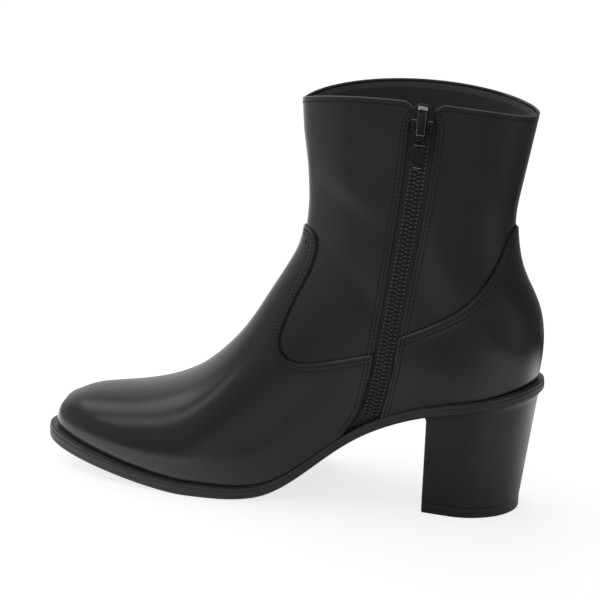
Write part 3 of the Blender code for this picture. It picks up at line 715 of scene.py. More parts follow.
def sheet(name, points, wall=0.0, closed=False, smooth_deg=50.0, tone=None):
    """A grid primitive laid on the given rows of points, closed round where asked and given a wall inwards.

    tone, one value a row, is kept for the material's colour: 1 as it is, less darker, more lighter.
    """
    rows, columns = points.shape[:2]
    clear_selection()
    bpy.ops.mesh.primitive_grid_add(x_subdivisions=columns - 1, y_subdivisions=rows - 1, size=1)
    piece = bpy.context.active_object
    piece.name = piece.data.name = name
    piece.data.vertices.foreach_set("co", ((points + FRAME_SHIFT) * MM).ravel())
    piece.data.update()
    if tone is not None:
        marks = piece.data.attributes.new("tone", "FLOAT", "POINT")
        marks.data.foreach_set("value", np.repeat(tone, columns))
    if closed:
        face_outwards(merge=1e-6)
    if wall:
        solid = piece.modifiers.new("wall", "SOLIDIFY")
        solid.thickness = wall * MM
        solid.offset = -1.0
        bpy.ops.object.modifier_apply(modifier="wall")
    bpy.ops.object.shade_smooth_by_angle(angle=math.radians(smooth_deg))
    return piece


def finish_piece(piece, made_of, slot, replaced=(), body=BODY):
    """Gives a piece its material and its body, and hides the solids it stands for; its slot is not used."""
    piece.data.materials.clear()
    piece.data.materials.append(made_of)
    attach(piece, body)
    if replaced:
        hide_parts(*replaced)


def dye_and_shade_edge(piece, made_of):
    """Gives the dark-toned faces of a piece a second material: the edge dye, which also paints the shade
    beside the edge.
    """
    piece.data.materials.append(made_of)
    tone = np.empty(len(piece.data.vertices))
    piece.data.attributes["tone"].data.foreach_get("value", tone)
    for polygon in piece.data.polygons:
        if tone[list(polygon.vertices)].max() < DYE_AND_SHADE_BELOW:
            polygon.material_index = 1


def repeated(name, model, places):
    """One piece of many copies of a model (points, faces), each laid at (centre, axes) in millimetres."""
    points, faces = model
    count = len(points)
    all_points = np.concatenate([centre + points @ np.asarray(axes) for centre, axes in places])
    all_faces = [tuple(i + count * n for i in face) for n in range(len(places)) for face in faces]
    mesh = bpy.data.meshes.new(name)
    mesh.from_pydata(((all_points + FRAME_SHIFT) * MM).tolist(), [], all_faces)
    piece = bpy.data.objects.new(name, mesh)
    bpy.context.scene.collection.objects.link(piece)
    pick(piece)
    bpy.ops.object.shade_smooth()
    return piece


# How blunt the ends of a bead are: 1 is a plain ellipsoid
BEAD_BLUNT = 0.6


def bead(length, width, height, segments=8, rings=5):
    """A small rounded dash along X, modelled once: (points, faces) in millimetres."""
    clear_selection()
    bpy.ops.mesh.primitive_uv_sphere_add(segments=segments, ring_count=rings, radius=0.5)
    made = bpy.context.active_object
    bpy.ops.object.mode_set(mode="EDIT")
    bpy.ops.mesh.select_all(action="SELECT")
    bpy.ops.transform.rotate(value=math.pi / 2, orient_axis="Y", center_override=(0, 0, 0))
    bpy.ops.transform.resize(value=(length, width, height))
    bpy.ops.object.mode_set(mode="OBJECT")
    points = np.array([v.co[:] for v in made.data.vertices])
    share = np.abs(2 * points[:, 0] / length)
    points[:, 0] = np.sign(points[:, 0]) * share**BEAD_BLUNT * length / 2
    faces = [tuple(p.vertices) for p in made.data.polygons]
    mesh = made.data
    bpy.data.objects.remove(made)
    bpy.data.meshes.remove(mesh)
    return points, faces


# Materials

# Depth of every bump, in metres, and the range of a noise value that is spread out
BUMP_DEPTH = 0.0002
NOISE_LOW, NOISE_HIGH = 0.3, 0.7
# Scale of a wave texture with one band a metre
WEAVE_SCALE = 0.314


def new_material(name, colour, roughness, metallic=0.0, coat=0.0, coat_roughness=0.2, specular=0.5):
    """A material with the same values all over: (material, node tree, shader)."""
    made = bpy.data.materials.new(name)
    made.use_nodes = True
    shader = made.node_tree.nodes["Principled BSDF"]
    shader.inputs["Base Color"].default_value = colour
    shader.inputs["Roughness"].default_value = roughness
    shader.inputs["Metallic"].default_value = metallic
    shader.inputs["Coat Weight"].default_value = coat
    shader.inputs["Coat Roughness"].default_value = coat_roughness
    shader.inputs["Specular IOR Level"].default_value = specular
    return made, made.node_tree, shader


def node(tree, kind, *sources, **settings):
    """A node with its settings or inputs set and its first inputs linked to the sources."""
    made = tree.nodes.new(kind)
    for name, value in settings.items():
        if hasattr(made, name):
            setattr(made, name, value)
        else:
            made.inputs[name].default_value = value
    for i, source in enumerate(sources):
        tree.links.new(source, made.inputs[i])
    return made


def own_place(tree):
    """The piece's own coordinates."""
    return node(tree, "ShaderNodeTexCoord").outputs["Object"]


def noise(tree, scale, detail):
    return node(tree, "ShaderNodeTexNoise", own_place(tree), Scale=scale, Detail=detail).outputs["Fac"]


def ranged(tree, source, start, end, low, high, **settings):
    """Maps a value from start to end onto low to high."""
    limits = {"From Min": start, "From Max": end, "To Min": low, "To Max": high}
    return node(tree, "ShaderNodeMapRange", source, **settings, **limits).outputs["Result"]


def faded(tree, source, start, end, low, high):
    """Maps a value from start to end onto low to high, without kinks, and holds it beyond them."""
    return ranged(tree, source, start, end, low, high, interpolation_type="SMOOTHSTEP")


def spread_noise(tree, source, low, high):
    """Maps a noise value's usual range onto low to high."""
    return ranged(tree, source, NOISE_LOW, NOISE_HIGH, low, high, clamp=False)


def reckoned(tree, operation, first, second):
    return node(tree, "ShaderNodeMath", first, second, operation=operation).outputs[0]


def bump(tree, shader, height, strength, distance=BUMP_DEPTH):
    made = node(tree, "ShaderNodeBump", Strength=strength, Distance=distance)
    tree.links.new(height, made.inputs["Height"])
    tree.links.new(made.outputs["Normal"], shader.inputs["Normal"])


def tinted(tree, shader, source, colour, dark, light):
    """Base colour between a darker and a lighter shade of a colour, by a 0 to 1 value."""
    shades = {"A": shade(colour, dark), "B": shade(colour, light)}
    made = node(tree, "ShaderNodeMix", source, data_type="RGBA", **shades)
    output = next(socket for socket in made.outputs if socket.type == "RGBA")
    tree.links.new(output, shader.inputs["Base Color"])


def toned(tree, shader):
    """Multiplies the base colour by the piece's tone."""
    marks = node(tree, "ShaderNodeAttribute", attribute_name="tone")
    socket = shader.inputs["Base Color"]
    scaled = node(tree, "ShaderNodeVectorMath", socket.links[0].from_socket, operation="SCALE")
    tree.links.new(marks.outputs["Fac"], scaled.inputs["Scale"])
    tree.links.new(scaled.outputs["Vector"], socket)


def shade(colour, factor):
    return (colour[0] * factor, colour[1] * factor, colour[2] * factor, 1.0)


def leather(name, looks):
    """Smooth dressed leather: fine pebble grain, slow gloss and colour changes, thin finish coat."""
    rough = looks.leather_roughness
    made, tree, shader = new_material(
        name, (*looks.leather, 1.0), rough, coat=looks.leather_coat, coat_roughness=0.28
    )
    tinted(tree, shader, noise(tree, 30.0, 2.0), looks.leather, 0.85, 1.15)
    toned(tree, shader)
    gloss = spread_noise(tree, noise(tree, 60.0, 2.0), rough - 0.015, rough + 0.02)
    tree.links.new(gloss, shader.inputs["Roughness"])
    pebbles = node(tree, "ShaderNodeTexVoronoi", own_place(tree), feature="SMOOTH_F1", Scale=1500.0)
    mixed = node(tree, "ShaderNodeMath", noise(tree, 2600.0, 3.0), operation="MULTIPLY_ADD")
    mixed.inputs[1].default_value = 0.5
    tree.links.new(pebbles.outputs["Distance"], mixed.inputs[2])
    bump(tree, shader, mixed.outputs[0], looks.grain)
    return made


def cloth(name, colour, pitch, rows_toned=False):
    """Plain woven cloth on the piece's own coordinates; pitch is the weave's, in metres."""
    made, tree, shader = new_material(name, (*colour, 1.0), 0.85, specular=0.3)
    shader.inputs["Sheen Weight"].default_value = 0.3
    settings = {"Scale": WEAVE_SCALE / pitch, "Distortion": 0.6}
    warp, weft = (
        node(tree, "ShaderNodeTexWave", own_place(tree), bands_direction=way, **settings).outputs["Fac"]
        for way in ("X", "Z")
    )
    weave = reckoned(tree, "MULTIPLY", warp, weft)
    tinted(tree, shader, weave, colour, 0.96, 1.08)
    if rows_toned:
        toned(tree, shader)
    bump(tree, shader, weave, 0.15)
    return made


def rubber(name, colour, roughness, coat=0.0, ripple=0.05, specular=0.3, rows_toned=False):
    """Moulded rubber or plastic with a faint moulded skin."""
    made, tree, shader = new_material(
        name, (*colour, 1.0), roughness, coat=coat, coat_roughness=0.15, specular=specular
    )
    tinted(tree, shader, spread_noise(tree, noise(tree, 45.0, 3.0), 0.0, 1.0), colour, 0.8, 1.2)
    if rows_toned:
        toned(tree, shader)
    gloss = spread_noise(tree, noise(tree, 90.0, 4.0), roughness - 0.04, roughness + 0.05)
    tree.links.new(gloss, shader.inputs["Roughness"])
    bump(tree, shader, noise(tree, 1800.0, 3.0), ripple)
    return made


def metal(name, colour, roughness):
    """Black lacquered die-cast metal, slightly worn."""
    made, tree, shader = new_material(
        name, (*colour, 1.0), roughness, metallic=0.85, coat=0.4, coat_roughness=0.12
    )
    worn = noise(tree, 700.0, 4.0)
    tinted(tree, shader, spread_noise(tree, worn, 0.0, 1.0), colour, 0.7, 1.4)
    gloss = spread_noise(tree, worn, roughness - 0.06, roughness + 0.08)
    tree.links.new(gloss, shader.inputs["Roughness"])
    bump(tree, shader, worn, 0.06, BUMP_DEPTH / 2)
    return made


def thread(name, colour):
    """Twisted sewing thread."""
    made, tree, shader = new_material(name, (*colour, 1.0), 0.7, specular=0.15)
    twist = noise(tree, 2200.0, 2.0)
    tinted(tree, shader, spread_noise(tree, twist, 0.0, 1.0), colour, 0.7, 1.3)
    bump(tree, shader, twist, 0.3)
    return made


# Shaft and lining

# Rows of the collar band, by distance below the collar, and grid sizes
COLLAR_BAND = (9.0, 7.4, 6.2, 5.2, 4.4, 3.6, 2.8, 2.1, 1.5, 1.0, 0.6, 0.3, 0.1, 0.0)
SHAFT_ROWS = 86
SHAFT_FRONT_COLUMNS = 62
SHAFT_REAR_COLUMNS = 44
SHAFT_OUTER_COLUMNS = 104
SETTLING_STEPS = 40
# Rounding of the collar's cut edge, and the tone of the painted highlight that lightens it
COLLAR_ROUND = 0.35
COLLAR_EDGE_HIGHLIGHT_TONE = 9.0
# Lining: rows below the collar, the collar facing's depth and tone, gap behind the leather, thickness, weave
LINING_BAND = (6.0, 4.4, 4.0, 3.0, 2.2, 1.6)
FACING_DEPTH = 4.2
FACING_TONE = 1.6
LINING_GAP = 0.1
LINING_WALL = 0.5
LINING_WEAVE = 0.0011


def shaft_rows(rows, band):
    """Rows of the shaft: shares of the height up to the collar band, then distances below the collar."""
    shares = [("share", value) for value in np.linspace(0, 1, rows)]
    return shares + [("drop", value) for value in band]


def row_z(x, row):
    kind, value = row
    if kind == "drop":
        return collar_z(x) - value
    return foot(x) + value * (collar_z(x) - COLLAR_BAND[0] - foot(x))


def row_end(line, row):
    """X where a row of the shaft meets the front ridge or the back."""
    kind, value = row
    x, z = line[:, 0], line[:, 1]
    if kind == "drop":
        return np.interp(value, (collar_z(x) - z)[::-1], x[::-1])
    measure = (z - foot(x)) / (collar_z(x) - COLLAR_BAND[0] - foot(x))
    return np.interp(value, np.maximum.accumulate(measure), x)


def settle(row, edge):
    """X where a row meets a line x = edge(z)."""
    x = ZIP[-1].x
    for _ in range(SETTLING_STEPS):
        x = float(edge(row_z(x, row)))
    return x


def shaft_grid(rows, slit, coarse=1):
    """Points of the shaft from the zip's front edge round the front, outer side and back to its rear edge.

    With them come their distances from the slit's edges. Without a slit, both ends meet at the zip's line.
    """
    grid, gaps = [], []
    counts = (SHAFT_FRONT_COLUMNS, SHAFT_OUTER_COLUMNS, SHAFT_REAR_COLUMNS)
    fore, side, aft = (count // coarse for count in counts)
    for row in rows:
        front, back = row_end(RIDGE, row), row_end(BACK, row)
        span = back - front
        turn = lambda x: math.acos(1 - 2 * (x - front) / span) / math.pi
        place = lambda turns: front + span * (1 - np.cos(math.pi * turns)) / 2
        if slit:
            a, b = settle(row, zip_front), settle(row, zip_rear)
            onward = place(np.linspace(turn(a - FOLD_INSETS[0]), 0, fore)[1:])
            near = np.concatenate([a - FOLD_INSETS[::-1], onward])
            onward = place(np.linspace(1, turn(b + FOLD_INSETS[0]), aft)[1:-1])
            far = np.concatenate([onward, b + FOLD_INSETS])
        else:
            a = b = settle(row, zip_x)
            near = place(np.linspace(turn(a), 0, fore))
            far = place(np.linspace(1, turn(a), aft)[1:])
        outer = place(np.linspace(0, 1, side)[1:])
        inner_x = np.concatenate([near, far])
        z = row_z(inner_x, row)
        below = (collar_z(inner_x) - z) / NOTCH_FADE
        z = z - notch(inner_x, z) * np.clip(1 - below, 0, 1) ** 2
        inner = lay(inner_x, z, -1)
        outside = lay(outer, row_z(outer, row), 1)
        grid.append(np.concatenate([inner[: len(near)], outside, inner[len(near) :]]))
        gaps.append(np.concatenate([a - near, np.full(len(outer), FAR), far - b]))
    return np.array(grid), np.array(gaps)


def facing_out(grid):
    """Normals of the shaft's rows, which run zip, front, outer side, back, zip."""
    return -outward(grid)


class BOOT_OT_shaft(bpy.types.Operator):
    """Shaft and lasted foot of the upper, with its zip opening and collar edge"""

    bl_idname = "boot.shaft"
    bl_label = "Shaft leather"

    def execute(self, context):
        looks = context.scene.boot_looks
        rows = shaft_rows(SHAFT_ROWS, COLLAR_BAND)
        del rows[SHAFT_ROWS - 1]
        base, gaps = shaft_grid(rows, True)
        drops = np.array([value if kind == "drop" else FAR for kind, value in rows])
        roll = looks.edge_roll / MM
        sunk = (1 - fold_share(gaps, roll)) * roll
        sunk = sunk + (1 - fold_share(drops, COLLAR_ROUND))[:, None] * COLLAR_ROUND
        points = base - facing_out(base) * sunk[..., None]
        # The collar's cut edge rows are lightened: a painted highlight
        tone = np.where(drops < COLLAR_ROUND, COLLAR_EDGE_HIGHLIGHT_TONE, 1.0)
        shaft = sheet("shaft_leather", points[:, ::-1], wall=looks.shaft_wall / MM, tone=tone)
        finish_piece(shaft, leather("shaft_leather", looks), "upper", ("upper",))
        return {"FINISHED"}


class BOOT_OT_lining(bpy.types.Operator):
    """Textile lining inside the upper, and the insole"""

    bl_idname = "boot.lining"
    bl_label = "Lining and insole"

    def execute(self, context):
        looks = context.scene.boot_looks
        rows = shaft_rows(SHAFT_ROWS // 2, LINING_BAND)
        facing = [kind == "drop" and value < FACING_DEPTH for kind, value in rows]
        base, _ = shaft_grid(rows, False, 2)
        points = base - facing_out(base) * (looks.shaft_wall / MM + LINING_GAP)
        tone = np.where(facing, FACING_TONE, 1.0)
        lining = sheet("textile_lining", points[:, ::-1], wall=LINING_WALL, tone=tone)
        weave = cloth("lining_cloth", looks.lining, LINING_WEAVE, rows_toned=True)
        finish_piece(lining, weave, "insole")
        insole = sheet("insole_cover", insole_rows(), closed=True)
        finish_piece(insole, cloth("insole_cloth", looks.lining, LINING_WEAVE), "insole", ("insole",))
        return {"FINISHED"}


# Vamp and counter


def make_overlay(looks, name, half, seam_side):
    """An overlay's leather with its dyed edge, whose dark dye also paints the shade beside it."""
    points, _ = overlay_points(half, seam_side)
    # Dark edge rows: edge dye, and painted shade along the edge
    tone = np.where(half(-1).insets < EDGE_DYE_AND_SHADE, EDGE_DYE_AND_SHADE_TONE, 1.0)
    piece = sheet(name + "_leather", points[:, ::seam_side], wall=looks.overlay_wall / MM, tone=tone)
    finish_piece(piece, leather(name + "_leather", looks), name, (name,))
    dye_and_shade_edge(piece, rubber(name + "_edge_dye", looks.edge_dye_and_shade, 0.5, specular=0.25))


class BOOT_OT_vamp(bpy.types.Operator):
    """Vamp over the forefoot, with its tongue-shaped turned edge"""

    bl_idname = "boot.vamp"
    bl_label = "Vamp leather"

    def execute(self, context):
        make_overlay(context.scene.boot_looks, "vamp", vamp_half, 1)
        return {"FINISHED"}


class BOOT_OT_counter(bpy.types.Operator):
    """Counter round the heel, with its turned edge"""

    bl_idname = "boot.counter"
    bl_label = "Counter leather"

    def execute(self, context):
        make_overlay(context.scene.boot_looks, "counter", counter_half, -1)
        return {"FINISHED"}


# Stitches

# Distances of the rows from the overlays' edges and from the zip, and of the row below the collar
OVERLAY_STITCHES = (1.4, 3.2)
ZIP_STITCHES = (1.6, 3.5)
COLLAR_STITCHES = 2.6
# Width and height of a stitch, how far it stands off the leather, clearances from edges and ends, and how
# far below the zip's first station its rows start
STITCH_WIDTH = 0.55
STITCH_HEIGHT = 0.35
STITCH_LIFT = 0.02
COLLAR_STITCH_LIFT = 0.03
STITCH_END_CLEAR = 1.8
STITCH_FOOT_CLEAR = 1.5
STITCH_FOOT_DROP = 4.0
STITCH_TOP_CLEAR = 3.5
STITCH_ZIP_CLEAR = 1.0
STITCH_RIDGE_CLEAR = 0.4
# Share of the collar's notch that its row of stitches follows, and a gap in x that parts a row
NOTCH_FOLLOWED = 0.7
ROW_BREAK = 3.0
STITCH_AIM = 0.3
# The vamp's edge beside the zip lies behind this x
VAMP_EDGE_REAR_X = 20.0


def dashes(line, normals, length, pitch, clear=0.0):
    """Places of stitches along a row of points, clear of its ends: centre and axes (along, across, out)."""
    run = travel(line)
    start, stop = clear + length / 2, run[-1] - clear - length / 2
    at = np.linspace(start, stop, int((stop - start) / pitch) + 1)
    outs = np.stack([np.interp(at, run, normals[:, i]) for i in range(3)], axis=-1)
    places = []
    for centre, further, out in zip(along(line, at), along(line, at + STITCH_AIM), outs):
        forward = unit(further - centre)
        out = unit(out - forward * (out @ forward))
        places.append((centre, np.stack([forward, np.cross(out, forward), out])))
    return places


def over_height(plan, way):
    """Height of the outermost leather beside the zip: overlay below its edge, shaft above."""
    line = smooth_line(VAMP_EDGE if way < 0 else COUNTER_EDGE)
    line = line[np.argsort(line[:, 0])]
    if way < 0:
        line = line[line[:, 0] > VAMP_EDGE_REAR_X]
    below = np.interp(plan[:, 0], line[:, 0], line[:, 1]) - plan[:, 1]
    return np.where(below > 0, overlay_height(np.maximum(below, 0)), 0.0) + STITCH_LIFT


def zip_stitch_lines():
    """Rows of sewing on both sides of the zip: points and normals."""
    z = np.linspace(ZIP[0].z - STITCH_FOOT_DROP, float(collar_z(ZIP[-1].x)) - STITCH_TOP_CLEAR, 500)
    for edge, way in ((zip_front, -1), (zip_rear, 1)):
        for distance in ZIP_STITCHES:
            plan = np.column_stack([edge(z) + way * distance, z])
            plan = plan[plan[:, 1] > foot(plan[:, 0]) + STITCH_FOOT_CLEAR]
            yield wall_row(plan, -1, over_height(plan, way))


def collar_stitch_lines():
    """The row of sewing below the collar, parted at the zip: points and normals."""
    clear = 2 * STITCH_RIDGE_CLEAR
    for side in (-1, 1):
        x = np.linspace(COLLAR_FRONT[0] + clear, COLLAR_BACK[0] - clear, 600)
        z = collar_z(x) - COLLAR_STITCHES
        if side < 0:
            z = z - notch(x, z) * NOTCH_FOLLOWED
        keep = (x > ridge_x(z) + STITCH_RIDGE_CLEAR) & (x < heel_x(z) - STITCH_RIDGE_CLEAR)
        if side < 0:
            keep &= np.abs(x - zip_x(z)) > zip_width(z) / 2 + STITCH_ZIP_CLEAR
        plan = np.column_stack([x, z])[keep]
        for part in np.split(plan, np.flatnonzero(np.diff(plan[:, 0]) > ROW_BREAK) + 1):
            yield wall_row(part, side, np.full(len(part), COLLAR_STITCH_LIFT))


class BOOT_OT_stitches(bpy.types.Operator):
    """Rows of sewing along the vamp, counter, zip and collar"""

    bl_idname = "boot.stitches"
    bl_label = "Stitches"

    def execute(self, context):
        looks = context.scene.boot_looks
        length, pitch = looks.stitch_length / MM, looks.stitch_pitch / MM
        made_of = thread("sewing_thread", looks.thread)
        model = bead(length, STITCH_WIDTH, STITCH_HEIGHT)
        for name, half, seam_side in (("vamp", vamp_half, 1), ("counter", counter_half, -1)):
            points, way = overlay_points(half, seam_side)
            places = []
            for distance in OVERLAY_STITCHES:
                row = int(np.flatnonzero(half(-1).insets == distance)[0])
                line = points[row] + STITCH_LIFT * way[row]
                places += dashes(line, way[row], length, pitch, STITCH_END_CLEAR)
            finish_piece(repeated(name + "_stitches", model, places), made_of, name)
        places = []
        for line, normals in (*zip_stitch_lines(), *collar_stitch_lines()):
            places += dashes(line, normals, length, pitch)
        finish_piece(repeated("shaft_stitches", model, places), made_of, "upper")
        return {"FINISHED"}


# Sole, welt and insole

# The welt's height and how far it stands back from the outsole's side; the seat under the upper; the insole
WELT_HEIGHT = 1.7
WELT_INSET = 0.25
SEAT_INSET = 1.0
INSOLE_HEIGHT = 3.2
INSOLE_INSET = 3.5
# Underside of the outsole inside its edge, and loops that draw a face in to the middle line
TREAD_INSET = 3.2
TREAD_SHARES = np.linspace(0, 0.94, 9)
SEAT_SHARES = np.linspace(1, 0, 9)

# Section of the outsole's side: reach past the ledge, share of the wall's height from tread to rim, rise
OUTSOLE_SIDE = table(
    "reach share rise",
    (-3.2, 0.0, 0.0),
    (-1.0, 0.0, 0.0),
    (-0.55, 0.0, 0.08),
    (-0.2, 0.0, 0.3),
    (0.0, 0.0, 0.75),
    (0.05, 0.2, 0.5),
    (0.06, 0.45, -0.6),
    (0.03, 0.45, -0.3),
    (-0.03, 0.45, -0.1),
    (-0.05, 0.45, 0.05),
    (-0.03, 0.45, 0.2),
    (0.0, 0.45, 0.5),
    (0.0, 0.75, 0.2),
    (-0.02, 0.96, 0.1),
    (-0.08, 1.0, -0.04),
    (-0.4, 1.0, 0.0),
    (-2.0, 1.0, 0.0),
)
# Section of the welt's outer side: how far it is drawn in, rise from its foot (low) or from the rim
WELT_SIDE = table(
    "inset low rise",
    (0.0, True, 0.0),
    (0.0, True, 0.5),
    (0.05, False, -0.5),
    (0.35, False, -0.15),
    (0.9, False, 0.0),
)
# How deep the welt sits in the outsole, and the tone of its rows: lighter on top, where it meets the upper,
# as painted light on the ledge that lies in shade
WELT_SINK = 0.05
WELT_PAINTED_LIGHT_TONES = np.array([1.0, 1.0, 1.0, 1.0, 1.0, 4.0, 4.0, 1.0])
# Section of the insole: how far it is drawn in, rise, share of the way out from the middle line
INSOLE_SECTION = table(
    "inset rise share",
    (0.0, 0.0, 0.0),
    (0.0, 0.0, 0.5),
    (0.0, 0.0, 1.0),
    (0.0, INSOLE_HEIGHT - 0.8, 1.0),
    (0.3, INSOLE_HEIGHT - 0.2, 1.0),
    (0.9, INSOLE_HEIGHT, 1.0),
    (0.9, INSOLE_HEIGHT, 0.6),
    (0.9, INSOLE_HEIGHT, 0.0),
)


def foot_plan(count):
    """Outline of the upper's lower edge, from the toe along the inner side to the heel and back."""
    turn = np.linspace(0, math.pi, count)
    x = (UPPER_TIP_X + UPPER_HEEL_X) / 2 - (UPPER_HEEL_X - UPPER_TIP_X) / 2 * np.cos(turn)
    z = foot(x)
    inner = np.column_stack([x, side_y(x, z, -1)])
    outer = np.column_stack([x, side_y(x, z, 1)])[::-1]
    return np.concatenate([inner, outer[1:]])


PLAN = foot_plan(150)


def outward_in_plan(loop):
    """Unit ways out of a closed loop in plan."""
    step = np.roll(loop, -1, axis=0) - np.roll(loop, 1, axis=0)
    return unit(np.stack([step[:, 1], -step[:, 0]], axis=1))


def plan_loop(reach, height, share=1.0):
    """Loop `reach(x)` outside the upper's lower edge; share below 1 draws it towards the middle line."""
    plan = PLAN[:-1]
    moved = plan + outward_in_plan(plan) * np.broadcast_to(reach(plan[:, 0]), len(plan))[:, None]
    middle = sole_swing(moved[:, 0])
    moved[:, 1] = middle + (moved[:, 1] - middle) * share
    loop = np.column_stack([moved, height(moved[:, 0])])
    return np.vstack([loop, loop[:1]])


def ledge(by):
    return lambda x: sole_ledge(x) + by


def inside(by):
    return lambda x: -by


def raised(height, by):
    return lambda x: height(x) + by


def outsole_rim(x):
    return rim(x) - WELT_HEIGHT - GAP


def outsole_rows():
    rows = [plan_loop(ledge(-TREAD_INSET), tread, share) for share in TREAD_SHARES]
    for row in OUTSOLE_SIDE:
        height = lambda x: tread(x) + row.share * (outsole_rim(x) - tread(x)) + row.rise
        rows.append(plan_loop(ledge(row.reach), height))
    rows += [plan_loop(inside(SEAT_INSET), outsole_rim, share) for share in SEAT_SHARES]
    return np.array(rows)


def welt_rows():
    low = raised(outsole_rim, -WELT_SINK)
    rows = [plan_loop(inside(SEAT_INSET), low)]
    for row in WELT_SIDE:
        rows.append(plan_loop(ledge(-WELT_INSET - row.inset), raised(low if row.low else rim, row.rise)))
    rows += [plan_loop(inside(SEAT_INSET), height) for height in (rim, low)]
    return np.array(rows)


def insole_rows():
    """A thin plate with a rounded upper edge, drawn to the middle line underneath and on top."""
    rows = []
    for row in INSOLE_SECTION:
        rows.append(plan_loop(inside(INSOLE_INSET + row.inset), raised(foot, row.rise), row.share))
    return np.array(rows)


class BOOT_OT_sole(bpy.types.Operator):
    """Outsole with its grooved side, and the glossy welt on it"""

    bl_idname = "boot.sole"
    bl_label = "Outsole and welt"

    def execute(self, context):
        looks = context.scene.boot_looks
        outsole = sheet("outsole_rubber", outsole_rows(), closed=True, smooth_deg=40)
        made_of = rubber("outsole_rubber", looks.sole, 0.4, specular=0.5)
        finish_piece(outsole, made_of, "outsole", ("outsole",))
        # The welt's top rows are lightened: painted light
        welt = sheet("welt_band", welt_rows(), closed=True, smooth_deg=40, tone=WELT_PAINTED_LIGHT_TONES)
        gloss = rubber("welt_gloss", looks.welt, 0.4, coat=0.2, ripple=0.02, rows_toned=True)
        finish_piece(welt, gloss, "welt", ("welt",))
        return {"FINISHED"}


# Heel

# Breast in the side view, inset of the seat from the ledge, size at the bottom, height of the top piece
BREAST_X = 70.3
BREAST_LOW_X = 69.0
BREAST_CLEAR = 2.0
HEEL_INSET = 2.3
HEEL_BOTTOM_LENGTH = 43.0
HEEL_BOTTOM_HALF_WIDTH = 26.0
HEEL_TIP_HEIGHT = 5.0
# Flare of the cover below the seat, over this share of its height, and half the gap above the top piece
HEEL_FLARE = 1.3
HEEL_FLARE_SHARE = 0.07
HEEL_TIP_GAP = 0.05
# Points of the seat's curve and of its breast, radius of their corners, shares of the height of its loops
SEAT_POINTS = 121
BREAST_POINTS = 41
BREAST_CORNER = 1.6
HEEL_SHARES = (*np.linspace(0.995, 0.08, 24), *np.linspace(HEEL_FLARE_SHARE, 0.0, 8))
# Rounded edges: how far a loop is drawn in, and its height, for the heel from its lower end
HEEL_EDGE = table("inset rise", (0.3, 0.0), (0.05, 0.05))
TIP_TOP = HEEL_TIP_HEIGHT - HEEL_TIP_GAP
TIP_SECTION = table(
    "inset z",
    (0.6, 0.0),
    (0.15, 0.15),
    (0.0, 0.6),
    (0.0, TIP_TOP - 0.2),
    (0.06, TIP_TOP - 0.05),
    (0.3, TIP_TOP),
)


def loop_gaps(run, i):
    """Distances round a closed loop from its point i."""
    gap = np.abs(run[:-1] - run[i])
    return np.minimum(gap, run[-1] - gap)


def round_corners(loop, corners, radius):
    """Softens a closed loop's corners by averaging points near them."""
    run = travel(np.vstack([loop, loop[:1]]))
    out = loop.copy()
    for corner in corners:
        for i in np.flatnonzero(loop_gaps(run, corner) < 2 * radius):
            weight = np.exp(-((loop_gaps(run, i) / radius) ** 2))
            out[i] = (loop * weight[:, None]).sum(axis=0) / weight.sum()
    return out


def heel_seat():
    """Loop of the heel's seat: inner breast corner, round the back, outer corner, along the breast."""
    edge = plan_loop(ledge(-HEEL_INSET), raised(tread, -0.5 * GAP))[:-1]
    behind = np.flatnonzero(edge[:, 0] > BREAST_X + BREAST_CLEAR)
    corners = []
    for kept, outside in ((behind[0], behind[0] - 1), (behind[-1], behind[-1] + 1)):
        share = (BREAST_X - edge[outside, 0]) / (edge[kept, 0] - edge[outside, 0])
        corners.append(edge[outside] + share * (edge[kept] - edge[outside]))
    curve = np.concatenate([[corners[0]], edge[behind], [corners[1]]])
    curve = along(curve, np.linspace(0, travel(curve)[-1], SEAT_POINTS))
    breast = np.array([corners[1], corners[0]])
    breast = along(breast, np.linspace(0, travel(breast)[-1], BREAST_POINTS))
    loop = np.concatenate([curve, breast[1:-1]])
    return round_corners(loop, (0, SEAT_POINTS - 1), BREAST_CORNER)


def drawn_in(loop, by, z=None):
    """A loop moved inwards in plan by a distance, at its own height or z."""
    moved = loop.copy()
    moved[:, :2] -= outward_in_plan(loop) * by
    if z is not None:
        moved[:, 2] = z
    return moved


def heel_loop(seat, share, low_z):
    """The heel's outline a share of the way from its seat to low_z."""
    length = seat[:, 0].max() - BREAST_X
    width = np.abs(seat[:, 1]).max()
    low = seat.copy()
    low[:, 0] = BREAST_LOW_X + (seat[:, 0] - BREAST_X) * HEEL_BOTTOM_LENGTH / length
    low[:, 1] = seat[:, 1] * HEEL_BOTTOM_HALF_WIDTH / width
    low[:, 2] = low_z
    flared = drawn_in(seat, -HEEL_FLARE * max(0.0, 1 - share / HEEL_FLARE_SHARE) ** 2)
    return flared + (low - seat) * share


def capped(loops):
    """Loops as closed rows, with both ends drawn to the middle line."""
    first, last = loops[0].copy(), loops[-1].copy()
    first[:, 1] = 0.0
    last[:, 1] = 0.0
    return np.array([np.vstack([row, row[:1]]) for row in (first, *loops, last)])


